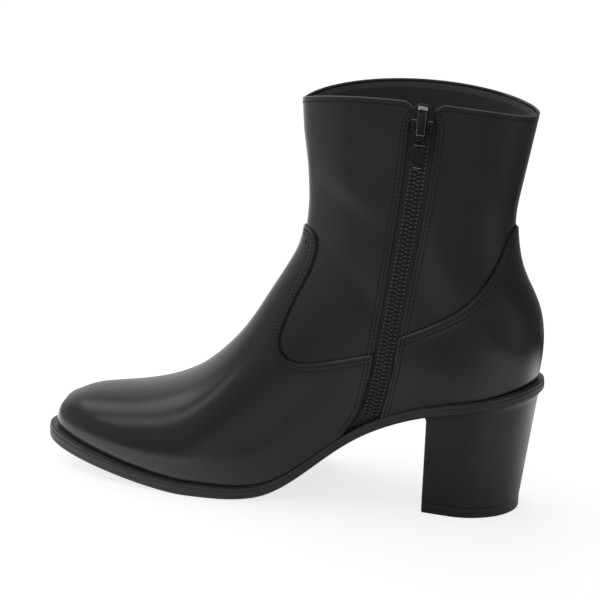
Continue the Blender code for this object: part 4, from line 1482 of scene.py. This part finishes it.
class BOOT_OT_heel(bpy.types.Operator):
    """Block heel and its top piece"""

    bl_idname = "boot.heel"
    bl_label = "Heel and top piece"

    def execute(self, context):
        looks = context.scene.boot_looks
        seat = heel_seat()
        low = HEEL_TIP_HEIGHT + HEEL_TIP_GAP
        foot_loop = heel_loop(seat, 1.0, low)
        loops = [drawn_in(foot_loop, row.inset, low + row.rise) for row in HEEL_EDGE]
        loops += [heel_loop(seat, share, low) for share in HEEL_SHARES]
        heel = sheet("heel_block", capped(loops), closed=True, smooth_deg=45)
        made_of = rubber("heel_cover", looks.rubber, 0.34, ripple=0.04, specular=0.6)
        finish_piece(heel, made_of, "heel", ("heel",))
        base = heel_loop(seat, 1.0, 0.0)
        loops = [drawn_in(base, row.inset, row.z) for row in TIP_SECTION]
        tip = sheet("heel_top_piece", capped(loops), closed=True, smooth_deg=45)
        made_of = rubber("top_piece_rubber", looks.rubber, 0.34, ripple=0.04, specular=0.6)
        finish_piece(tip, made_of, "heel_tip", ("heel_tip",))
        return {"FINISHED"}


# Zip

# Tape: depth below the leather's outside, foot, reach behind the leather, gap to the collar, grid, wall and
# weave
TAPE_DEPTH = 1.1
TAPE_FOOT = 34.0
TAPE_FRONT_REACH = 1.4
TAPE_REAR_REACH = 1.2
TAPE_COLLAR_GAP = 0.3
TAPE_ROWS = 160
TAPE_COLUMNS = 41
TAPE_WALL = 0.5
TAPE_WEAVE = 0.0009
# Coil: distance from turn to turn, where its foot is measured, and clearances at the foot and slider
COIL_PITCH = 2.0
COIL_FOOT_RISE = 3.0
COIL_FOOT_CLEAR = 3.0
COIL_TOP_CLEAR = 6.0
# Rows of the coil on each half of the zip: distance from its middle, lift, lean up the zip, size of a bead,
# its segments and rings
# The heads get a lighter colour and the legs a darker one: painted highlight and painted shade on one nylon
# coil
COIL_ROWS = table(
    "name across lift lean size segments rings",
    ("zip_coil", 0.8, -0.8, 0.3, (1.35, 1.0, 0.8), 8, 6),
    ("zip_coil_legs", 2.0, -0.85, 0.3, (2.6, 2.3, 0.5), 6, 4),
    ("coil_thread", 3.3, -0.75, 9.0, (1.05, 0.55, 0.5), 6, 4),
)
RISE_STEP = 1.0


def zip_places(z, across, lift):
    """Points of the zip, across from its middle line and lifted off the upper, with the ways up and out."""
    x = zip_x(z) + across
    normals = way_out(x, z, -1)
    on_upper = lay(x, z, -1)
    above = lay(zip_x(z + RISE_STEP) + across, z + RISE_STEP, -1)
    return on_upper + normals * np.asarray(lift)[..., None], unit(above - on_upper), normals


def tape_grid():
    """Points of the tape from its foot to its notched top, behind the leather on both sides."""
    top = ZIP[-1].z
    shares = np.linspace(0, 1, TAPE_ROWS)
    grid = []
    for share in np.linspace(-1, 1, TAPE_COLUMNS):
        end = zip_x(top) + share * (zip_width(top) / 2 + TAPE_REAR_REACH)
        top_z = float(collar_z(end) - notch(end, top)) - TAPE_COLLAR_GAP
        z = TAPE_FOOT + shares * (top_z - TAPE_FOOT)
        front, rear = zip_front(z) - TAPE_FRONT_REACH, zip_rear(z) + TAPE_REAR_REACH
        x = (front + rear) / 2 + share * (rear - front) / 2
        z = np.maximum(z, foot(x) + FOOT_CLEAR)
        point, _, _ = zip_places(z, x - zip_x(z), np.full(len(z), -TAPE_DEPTH))
        grid.append(point)
    return np.array(grid).transpose(1, 0, 2)


def coil_beads(row):
    """A row of the coil on both halves of the zip, the second half shifted by half a pitch."""
    foot_z = float(foot(zip_x(ZIP[0].z + COIL_FOOT_RISE))) + COIL_FOOT_CLEAR
    count = int((SLIDER_Z - COIL_TOP_CLEAR - foot_z) / COIL_PITCH)
    levels = foot_z + COIL_PITCH * np.arange(count)
    places = []
    for way, shift in ((-1, 0.0), (1, 0.5 * COIL_PITCH)):
        where = zip_places(levels + shift, np.full(count, way * row.across), np.full(count, row.lift))
        for centre, ahead, face in zip(*where):
            lean = unit(np.cross(ahead, face) * way + ahead * row.lean)
            places.append((centre, np.stack([lean, np.cross(face, lean), face])))
    return repeated(row.name, bead(*row.size, row.segments, row.rings), places)


class BOOT_OT_zip(bpy.types.Operator):
    """Zip tape with its coil and the rows of thread that hold the coil"""

    bl_idname = "boot.zip"
    bl_label = "Zip tape and coil"

    def execute(self, context):
        looks = context.scene.boot_looks
        tape = sheet("zip_tape_cloth", tape_grid(), wall=TAPE_WALL)
        finish_piece(tape, cloth("tape_cloth", looks.tape, TAPE_WEAVE), "zip_tape", ("zip_tape",))
        coil, legs, sewn = (coil_beads(row) for row in COIL_ROWS)
        # Lighter heads and darker legs of the one coil: painted highlight and painted shade
        finish_piece(coil, rubber("coil_nylon", looks.coil, 0.35, ripple=0.02), "zip_chain", ("zip_chain",))
        finish_piece(legs, rubber("coil_leg_nylon", looks.coil_leg, 0.5, ripple=0.02), "zip_chain")
        finish_piece(sewn, thread("coil_thread", looks.coil_thread), "zip_chain")
        return {"FINISHED"}


# Slider and pull, in the slider's axes: X across the zip, Y up it, Z outwards

SLIDER_Z = 190.0
SLIDER_AIM_RISE = 3.0
HARDWARE_SMOOTH_DEG = 40.0
# Outlines of the slider's plate and of the pull tab: place up the zip, half-width
SLIDER_OUTLINE = table(
    "y half_width", (-7.0, 4.1), (-2.0, 4.6), (1.8, 5.1), (4.6, 4.9), (7.0, 4.1), (8.6, 3.0), (9.4, 2.2)
)
PULL_OUTLINE = table(
    "y half_width",
    (-17.6, 2.2),
    (-16.4, 3.0),
    (-14.2, 3.1),
    (-10.6, 2.7),
    (-7.6, 2.8),
    (-5.4, 3.5),
    (-0.4, 3.6),
    (0.6, 3.2),
)
OUTLINE_CUTS = 23
# Boxes of the slider and pull: size, middle, bevel, and how much narrower they are below the middle
BOX_COLUMNS = "size centre bevel narrow"
PLATE, CROWN_END, TAB, WINDOW = table(
    BOX_COLUMNS,
    ((10.2, 16.4, 1.2), (0, 1.2, 2.0), 0.4, 1.0),
    ((4.8, 1.6, 3.0), (0, 7.95, 3.8), 0.7, 1.0),
    ((7.2, 18.2, 1.2), (0, -8.5, 0), 0.3, 1.0),
    ((4.7, 5.6, 4.0), (0, -3.4, 0), 0.6, 1.0),
)
# Side walls, lower plate, posts and bridge of the crown
SLIDER_BOXES = table(
    BOX_COLUMNS,
    ((1.1, 11.0, 2.4), (-4.5, 0.6, 0.6), 0.35, 0.8),
    ((1.1, 11.0, 2.4), (4.5, 0.6, 0.6), 0.35, 0.8),
    ((9.6, 12.5, 0.9), (0, 0, -0.6), 0.3, 0.72),
    ((3.8, 1.6, 3.4), (0, -5.9, 3.6), 0.3, 1.0),
    ((3.8, 1.6, 3.4), (0, 6.4, 3.6), 0.3, 1.0),
    ((3.9, 13.4, 1.1), (0, 0, 5.15), 0.22, 1.0),
)
# Bright strips of rubbed metal that also paint the highlight lines: on the bridge's foot, its sides and the
# plate, and on the pull
SLIDER_HIGHLIGHT_MARKS = table(
    BOX_COLUMNS,
    ((3.7, 0.22, 0.3), (0, -4.3, 5.6), 0.05, 1.0),
    ((0.1, 11.0, 0.2), (-1.85, 1.3, 5.62), 0.05, 1.0),
    ((0.1, 11.0, 0.2), (1.85, 1.3, 5.62), 0.05, 1.0),
    ((2.5, 0.26, 0.3), (-3.6, 1.8, 2.6), 0.05, 1.0),
    ((2.5, 0.26, 0.3), (3.6, 1.8, 2.6), 0.05, 1.0),
)
PULL_HIGHLIGHT_MARKS = table(
    BOX_COLUMNS,
    ((3.6, 0.22, 0.2), (0, -17.2, 0.55), 0.05, 1.0),
    ((5.0, 0.18, 0.2), (0, -6.5, 0.55), 0.05, 1.0),
)


def slider_frame():
    """The slider's axes, at the point of the upper under it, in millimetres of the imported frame."""
    point, _, normal = zip_places(np.array([SLIDER_Z]), np.zeros(1), np.zeros(1))
    above_z = np.array([SLIDER_Z + SLIDER_AIM_RISE])
    above = lay(zip_x(above_z), above_z, -1)
    out = Vector(normal[0])
    sideways = Vector(above[0] - point[0]).cross(out).normalized()
    place = Matrix((sideways, out.cross(sideways), out)).transposed().to_4x4()
    place.translation = Vector(point[0] + FRAME_SHIFT)
    return place


def box_start(name, row):
    """A cube primitive of a row's size about its centre, narrowed below the middle."""
    clear_selection()
    bpy.ops.mesh.primitive_cube_add(size=1)
    piece = bpy.context.active_object
    piece.name = piece.data.name = name
    piece.data.transform(Matrix.Translation(row.centre) @ Matrix.Diagonal((*row.size, 1.0)))
    for vertex in piece.data.vertices:
        if vertex.co.y < 0:
            vertex.co.x *= row.narrow
    return piece


def bevelled(piece, width, segments=3):
    edge = piece.modifiers.new("edge", "BEVEL")
    edge.width = width
    edge.segments = segments
    edge.limit_method = "ANGLE"
    pick(piece)
    bpy.ops.object.modifier_apply(modifier="edge")
    return piece


def boxes(rows):
    return [bevelled(box_start("part", row), row.bevel) for row in rows]


def outlined(piece, outline):
    """Cuts a box across its length and scales each cut to the outline's half-width."""
    bpy.ops.object.mode_set(mode="EDIT")
    bpy.ops.mesh.select_mode(type="EDGE")
    bpy.ops.mesh.select_all(action="DESELECT")
    bpy.ops.object.mode_set(mode="OBJECT")
    corners = piece.data.vertices
    for edge in piece.data.edges:
        first, last = (corners[i].co for i in edge.vertices)
        edge.select = first.y != last.y
    bpy.ops.object.mode_set(mode="EDIT")
    bpy.ops.mesh.subdivide(number_cuts=OUTLINE_CUTS)
    bpy.ops.object.mode_set(mode="OBJECT")
    half_width_at = column(outline, "half_width")
    full = max(vertex.co.x for vertex in piece.data.vertices)
    for vertex in piece.data.vertices:
        vertex.co.x *= float(half_width_at(vertex.co.y)) / full


def join_and_place(first, others, place):
    """Joins small parts into the first one, and lays it in the slider's or the pull's place."""
    pick(first)
    for piece in others:
        piece.select_set(True)
    if others:
        bpy.ops.object.join()
    first.data.transform(Matrix.Scale(MM, 4) @ place)
    pick(first)
    face_outwards()
    bpy.ops.object.shade_smooth_by_angle(angle=math.radians(HARDWARE_SMOOTH_DEG))


class BOOT_OT_slider(bpy.types.Operator):
    """Zip slider: two plates, side walls and the crown that holds the pull"""

    bl_idname = "boot.slider"
    bl_label = "Zip slider"

    def execute(self, context):
        looks = context.scene.boot_looks
        plate = box_start("zip_slider_body", PLATE)
        outlined(plate, SLIDER_OUTLINE)
        bevelled(plate, PLATE.bevel)
        join_and_place(plate, boxes(SLIDER_BOXES), slider_frame())
        finish_piece(plate, metal("slider_metal", looks.metal, 0.3), "zip_slider", ("zip_slider",))
        # Bright crown end and strips: rubbed metal that also paints the slider's highlight lines
        worn = bevelled(box_start("zip_slider_edges", CROWN_END), CROWN_END.bevel, 4)
        join_and_place(worn, boxes(SLIDER_HIGHLIGHT_MARKS), slider_frame())
        finish_piece(worn, metal("worn_metal", looks.worn_metal, 0.25), "zip_slider")
        return {"FINISHED"}


class BOOT_OT_pull(bpy.types.Operator):
    """Zip pull tab, hinged under the slider's crown"""

    bl_idname = "boot.pull"
    bl_label = "Zip pull"

    def execute(self, context):
        looks = context.scene.boot_looks
        tab = box_start("zip_pull_tab", TAB)
        outlined(tab, PULL_OUTLINE)
        window = bevelled(box_start("window", WINDOW), WINDOW.bevel)
        cut = tab.modifiers.new("window", "BOOLEAN")
        cut.object = window
        cut.solver = "EXACT"
        pick(tab)
        bpy.ops.object.modifier_apply(modifier="window")
        bpy.data.objects.remove(window)
        bevelled(tab, TAB.bevel, 2)
        place = slider_frame()
        place.translation = Vector(HINGE["pos_m"]) / MM
        join_and_place(tab, [], place)
        finish_piece(tab, metal("pull_metal", looks.metal, 0.32), "zip_pull", ("zip_pull",), PULL_BODY)
        # Bright strips: rubbed metal that also paints the pull's highlight lines
        worn, *others = boxes(PULL_HIGHLIGHT_MARKS)
        worn.name = worn.data.name = "zip_pull_edges"
        join_and_place(worn, others, place)
        finish_piece(worn, metal("worn_pull_metal", looks.worn_metal, 0.25), "zip_pull", (), PULL_BODY)
        return {"FINISHED"}


# Stage

FLOOR_SIZE = 14.0
CAMERA_CLIP = 0.05
LIGHTS = table(
    "name width height power place aim",
    ("window_rear_pane", 0.42, 0.5, 0.85, (-0.95, 0.07, 1.0), (-0.05, 0.0, 0.05)),
    ("window_front_pane", 0.2, 0.4, 0.38, (-0.95, -0.44, 0.98), (-0.05, 0.0, 0.05)),
)
# Soft zones of the studio's surroundings: way to the middle, where it fades out, where it is full, strength
SURROUNDINGS = table(
    "way edge_deg core_deg strength",
    ((-1.0, 0.1, -0.2), 62.0, 5.0, 0.19),
    ((-0.4, 0.9, -0.25), 32.0, 5.0, 0.42),
    ((-0.12, -1.0, 0.06), 24.0, 4.0, 0.2),
    ((-0.65, -0.4, 0.65), 36.0, 5.0, 0.14),
    ((-0.5, 0.85, 0.1), 50.0, 5.0, 0.08),
    ((-0.5, 0.6, 0.6), 40.0, 5.0, 0.54),
    ((0.8, 0.6, 0.0), 55.0, 10.0, -0.1),
    ((1.0, -0.1, -0.05), 28.0, 5.0, 0.13),
)
# White paper under the boot as its gloss sees it, a glowing sheet that paints the floor's reflection:
# half-size, depth, and where its glow changes along an axis
PAPER_HALF = 0.44
PAPER_DEPTH = 0.0005
PAPER_FADES = table(
    "axis start end low high",
    ("X", -0.13, 0.03, 1.1, 0.36),
    ("X", -0.34, -0.18, 0.42, 1.0),
    ("X", 0.06, 0.26, 1.0, 1.9),
    ("X", 0.28, 0.42, 1.0, 0.0),
    ("Y", -0.3, -0.14, 0.3, 1.0),
    ("Y", 0.08, 0.25, 1.0, 0.1),
    ("Y", 0.32, 0.44, 1.0, 5.0),
)
# Patches where the paper's glow paints a brighter reflection or, beside the boot, a painted shadow
PAPER_LIGHT_AND_SHADOW_PATCHES = table(
    "middle radius glow",
    ((0.2, 0.12, 0.0), 0.16, 0.9),
    ((0.08, -0.03, 0.0), 0.09, -0.2),
    ((-0.2, 0.1, 0.0), 0.13, 0.7),
)


def flat_sheet(name, size, cells):
    """A flat square at floor level."""
    clear_selection()
    bpy.ops.mesh.primitive_grid_add(x_subdivisions=cells, y_subdivisions=cells, size=size)
    made = bpy.context.active_object
    made.name = made.data.name = name
    return made


def glowing_paper():
    """The paper that only the boot's gloss sees, just under the floor: a glowing sheet whose uneven glow
    paints the floor's reflection, with a painted shadow beside the boot.
    """
    paper = flat_sheet("studio_paper", 2 * PAPER_HALF, 2)
    paper.data.transform(Matrix.Translation((0, 0, -PAPER_DEPTH)))
    made, tree, shader = new_material("paper_glow", (0, 0, 0, 1), 1.0, specular=0.0)
    shader.inputs["Emission Color"].default_value = (1, 1, 1, 1)
    place = own_place(tree)
    split = node(tree, "ShaderNodeSeparateXYZ", place)
    fades = [faded(tree, split.outputs[row.axis], *row[1:]) for row in PAPER_FADES]
    glow = functools.reduce(functools.partial(reckoned, tree, "MULTIPLY"), fades)
    for row in PAPER_LIGHT_AND_SHADOW_PATCHES:
        away = node(tree, "ShaderNodeVectorMath", place, operation="DISTANCE")
        away.inputs[1].default_value = row.middle
        glow = reckoned(tree, "ADD", glow, faded(tree, away.outputs["Value"], 0.0, row.radius, row.glow, 0.0))
    tree.links.new(glow, shader.inputs["Emission Strength"])
    paper.data.materials.append(made)
    paper.visible_camera = paper.visible_diffuse = paper.visible_shadow = False
    return paper


def pale_floor(glow):
    """The floor, which the boot's gloss doesn't see."""
    floor = flat_sheet("studio_floor", FLOOR_SIZE, 8)
    made, _, shader = new_material("floor_paper", (0.9, 0.9, 0.9, 1.0), 0.9)
    shader.inputs["Emission Color"].default_value = (1, 1, 1, 1)
    shader.inputs["Emission Strength"].default_value = glow
    floor.data.materials.append(made)
    floor.visible_glossy = False
    return floor


def surroundings(room_light):
    """A world of even light with brighter and darker zones."""
    world = bpy.data.worlds.new("studio")
    world.use_nodes = True
    tree = world.node_tree
    back = tree.nodes["Background"]
    back.inputs["Color"].default_value = (1, 1, 1, 1)
    way = node(tree, "ShaderNodeTexCoord").outputs["Generated"]
    total = node(tree, "ShaderNodeValue").outputs[0]
    total.default_value = room_light
    for row in SURROUNDINGS:
        aim = node(tree, "ShaderNodeVectorMath", way, operation="DOT_PRODUCT")
        aim.inputs[1].default_value = Vector(row.way).normalized()
        edge, core = (math.cos(math.radians(angle)) for angle in (row.edge_deg, row.core_deg))
        total = reckoned(tree, "ADD", total, faded(tree, aim.outputs["Value"], edge, core, 0.0, row.strength))
    tree.links.new(total, back.inputs["Strength"])
    return world


def window_panes(scene):
    """The area lights."""
    for row in LIGHTS:
        data = bpy.data.lights.new(row.name, "AREA")
        data.shape = "RECTANGLE"
        data.size, data.size_y = row.width, row.height
        data.energy = row.power
        light = bpy.data.objects.new(row.name, data)
        scene.collection.objects.link(light)
        light.location = row.place
        aim = Vector(row.aim) - Vector(row.place)
        light.rotation_euler = aim.to_track_quat("-Z", "Y").to_euler()


def photo_camera(scene, stage):
    """The camera at the photograph's angle, rolled as the photograph is."""
    turn, rise, roll = (math.radians(value) for value in (stage.azimuth, stage.elevation, stage.roll))
    backward = Vector((math.sin(turn) * math.cos(rise), -math.cos(turn) * math.cos(rise), math.sin(rise)))
    level = Vector((math.cos(turn), math.sin(turn), 0.0))
    upright = backward.cross(level)
    right = level * math.cos(roll) + upright * math.sin(roll)
    up = upright * math.cos(roll) - level * math.sin(roll)
    data = bpy.data.cameras.new("camera")
    data.lens = stage.lens
    data.clip_start = CAMERA_CLIP
    camera = bpy.data.objects.new("camera", data)
    scene.collection.objects.link(camera)
    camera.matrix_world = Matrix((right, up, backward)).transposed().to_4x4()
    camera.location = Vector(stage.target) + backward * stage.distance
    return camera


class BOOT_OT_stage(bpy.types.Operator):
    """Pale floor, soft studio light and the camera at the photograph's angle"""

    bl_idname = "boot.stage"
    bl_label = "Floor, light and camera"

    def execute(self, context):
        scene = context.scene
        stage = scene.boot_stage
        floor = pale_floor(stage.floor_glow)
        glowing_paper()
        scene.world = surroundings(stage.room_light)
        window_panes(scene)
        scene.camera = photo_camera(scene, stage)
        scene.view_settings.view_transform = "Standard"
        return {"FINISHED"}


# Settings, panel and run


class BootLooks(bpy.types.PropertyGroup):
    """Sizes and colours of the boot's leather, cloth, rubber, metal and thread"""

    leather: bpy.props.FloatVectorProperty(
        name="Leather", description="Colour of the leather",
        default=(0.0165, 0.0165, 0.0146), min=0, max=1, subtype="COLOR",
    )
    leather_roughness: bpy.props.FloatProperty(
        name="Leather roughness", description="How dull the leather is",
        default=0.22, min=0, max=1, subtype="FACTOR",
    )
    leather_coat: bpy.props.FloatProperty(
        name="Leather coat", description="Weight of the leather's finish coat",
        default=0.2, min=0, max=1, subtype="FACTOR",
    )
    grain: bpy.props.FloatProperty(
        name="Grain", description="Strength of the leather's grain",
        default=0.06, min=0, max=1, subtype="FACTOR",
    )
    shaft_wall: bpy.props.FloatProperty(
        name="Shaft wall", description="Thickness of the shaft leather", default=0.0014, unit="LENGTH"
    )
    overlay_wall: bpy.props.FloatProperty(
        name="Overlay wall", description="Thickness of the vamp and counter", default=0.0011, unit="LENGTH"
    )
    edge_roll: bpy.props.FloatProperty(
        name="Edge roll", description="Radius of the folded edges beside the zip",
        default=0.0008, unit="LENGTH",
    )
    stitch_length: bpy.props.FloatProperty(
        name="Stitch length", description="Length of one stitch", default=0.0014, unit="LENGTH"
    )
    stitch_pitch: bpy.props.FloatProperty(
        name="Stitch pitch", description="Distance from stitch to stitch", default=0.0021, unit="LENGTH"
    )
    thread: bpy.props.FloatVectorProperty(
        name="Thread", description="Colour of the sewing thread",
        default=(0.011, 0.011, 0.011), min=0, max=1, subtype="COLOR",
    )
    # Dark dye of the overlays' edges, which also paints the shade band beside them
    edge_dye_and_shade: bpy.props.FloatVectorProperty(
        name="Edge dye", description="Colour of the overlays' cut edges",
        default=(0.009, 0.009, 0.009), min=0, max=1, subtype="COLOR",
    )
    coil_thread: bpy.props.FloatVectorProperty(
        name="Coil thread", description="Colour of the thread beside the zip's coil",
        default=(0.14, 0.14, 0.14), min=0, max=1, subtype="COLOR",
    )
    lining: bpy.props.FloatVectorProperty(
        name="Lining", description="Colour of the lining and insole",
        default=(0.11, 0.11, 0.108), min=0, max=1, subtype="COLOR",
    )
    tape: bpy.props.FloatVectorProperty(
        name="Zip tape", description="Colour of the zip's tape",
        default=(0.016, 0.016, 0.016), min=0, max=1, subtype="COLOR",
    )
    # Colour of the coil's heads, lightened as a painted highlight
    coil: bpy.props.FloatVectorProperty(
        name="Zip coil", description="Colour of the zip's coil",
        default=(0.06, 0.06, 0.06), min=0, max=1, subtype="COLOR",
    )
    # Colour of the coil's legs, darkened as painted shade
    coil_leg: bpy.props.FloatVectorProperty(
        name="Zip coil legs", description="Colour of the coil's legs",
        default=(0.02, 0.02, 0.02), min=0, max=1, subtype="COLOR",
    )
    rubber: bpy.props.FloatVectorProperty(
        name="Heel", description="Colour of the heel and its top piece",
        default=(0.0085, 0.0083, 0.008), min=0, max=1, subtype="COLOR",
    )
    sole: bpy.props.FloatVectorProperty(
        name="Sole", description="Colour of the outsole",
        default=(0.024, 0.0238, 0.0232), min=0, max=1, subtype="COLOR",
    )
    welt: bpy.props.FloatVectorProperty(
        name="Welt", description="Colour of the welt",
        default=(0.036, 0.036, 0.036), min=0, max=1, subtype="COLOR",
    )
    # Bright rubbed metal that also paints the highlight lines on slider and pull
    worn_metal: bpy.props.FloatVectorProperty(
        name="Worn metal", description="Colour of the slider's and pull's rubbed edges",
        default=(0.6, 0.6, 0.6), min=0, max=1, subtype="COLOR",
    )
    metal: bpy.props.FloatVectorProperty(
        name="Metal", description="Colour of slider and pull",
        default=(0.03, 0.03, 0.032), min=0, max=1, subtype="COLOR",
    )


class BootStage(bpy.types.PropertyGroup):
    """Camera and light of the studio"""

    azimuth: bpy.props.FloatProperty(
        name="Azimuth", description="Camera's turn round the boot, degrees", default=15.0
    )
    elevation: bpy.props.FloatProperty(name="Elevation", description="Camera's rise, degrees", default=14.5)
    roll: bpy.props.FloatProperty(
        name="Roll", description="Turn of the picture, degrees clockwise", default=1.5
    )
    distance: bpy.props.FloatProperty(
        name="Distance", description="Camera to target", default=1.03, unit="LENGTH"
    )
    lens: bpy.props.FloatProperty(name="Lens", description="Focal length in millimetres", default=126.69)
    target: bpy.props.FloatVectorProperty(
        name="Target", description="Point the camera looks at",
        default=(0.004227, -0.002, 0.093), subtype="TRANSLATION",
    )
    floor_glow: bpy.props.FloatProperty(
        name="Floor glow", description="Light given by the floor itself", default=0.75
    )
    room_light: bpy.props.FloatProperty(name="Room light", description="Light from all round", default=0.2)


PIECE_OPERATORS = (
    BOOT_OT_shaft,
    BOOT_OT_lining,
    BOOT_OT_vamp,
    BOOT_OT_counter,
    BOOT_OT_stitches,
    BOOT_OT_zip,
    BOOT_OT_slider,
    BOOT_OT_pull,
    BOOT_OT_sole,
    BOOT_OT_heel,
    BOOT_OT_stage,
)


class BOOT_PT_dressing(bpy.types.Panel):
    """Lists the boot's settings, its pieces and its stage"""

    bl_label = "Ankle boot"
    bl_space_type = "VIEW_3D"
    bl_region_type = "UI"
    bl_category = "Boot"

    def draw(self, context):
        scene = context.scene
        for settings, kind in ((scene.boot_looks, BootLooks), (scene.boot_stage, BootStage)):
            for name in kind.__annotations__:
                self.layout.prop(settings, name)
        for operator in PIECE_OPERATORS:
            self.layout.operator(operator.bl_idname)


CLASSES = (BootLooks, BootStage, *PIECE_OPERATORS, BOOT_PT_dressing)


def register():
    for made in CLASSES:
        bpy.utils.register_class(made)
    bpy.types.Scene.boot_looks = bpy.props.PointerProperty(type=BootLooks)
    bpy.types.Scene.boot_stage = bpy.props.PointerProperty(type=BootStage)


def unregister():
    del bpy.types.Scene.boot_looks
    del bpy.types.Scene.boot_stage
    for made in reversed(CLASSES):
        bpy.utils.unregister_class(made)


def main():
    register()
    for operator in PIECE_OPERATORS:
        group, name = operator.bl_idname.split(".")
        getattr(getattr(bpy.ops, group), name)()


if __name__ == "__main__":
    main()
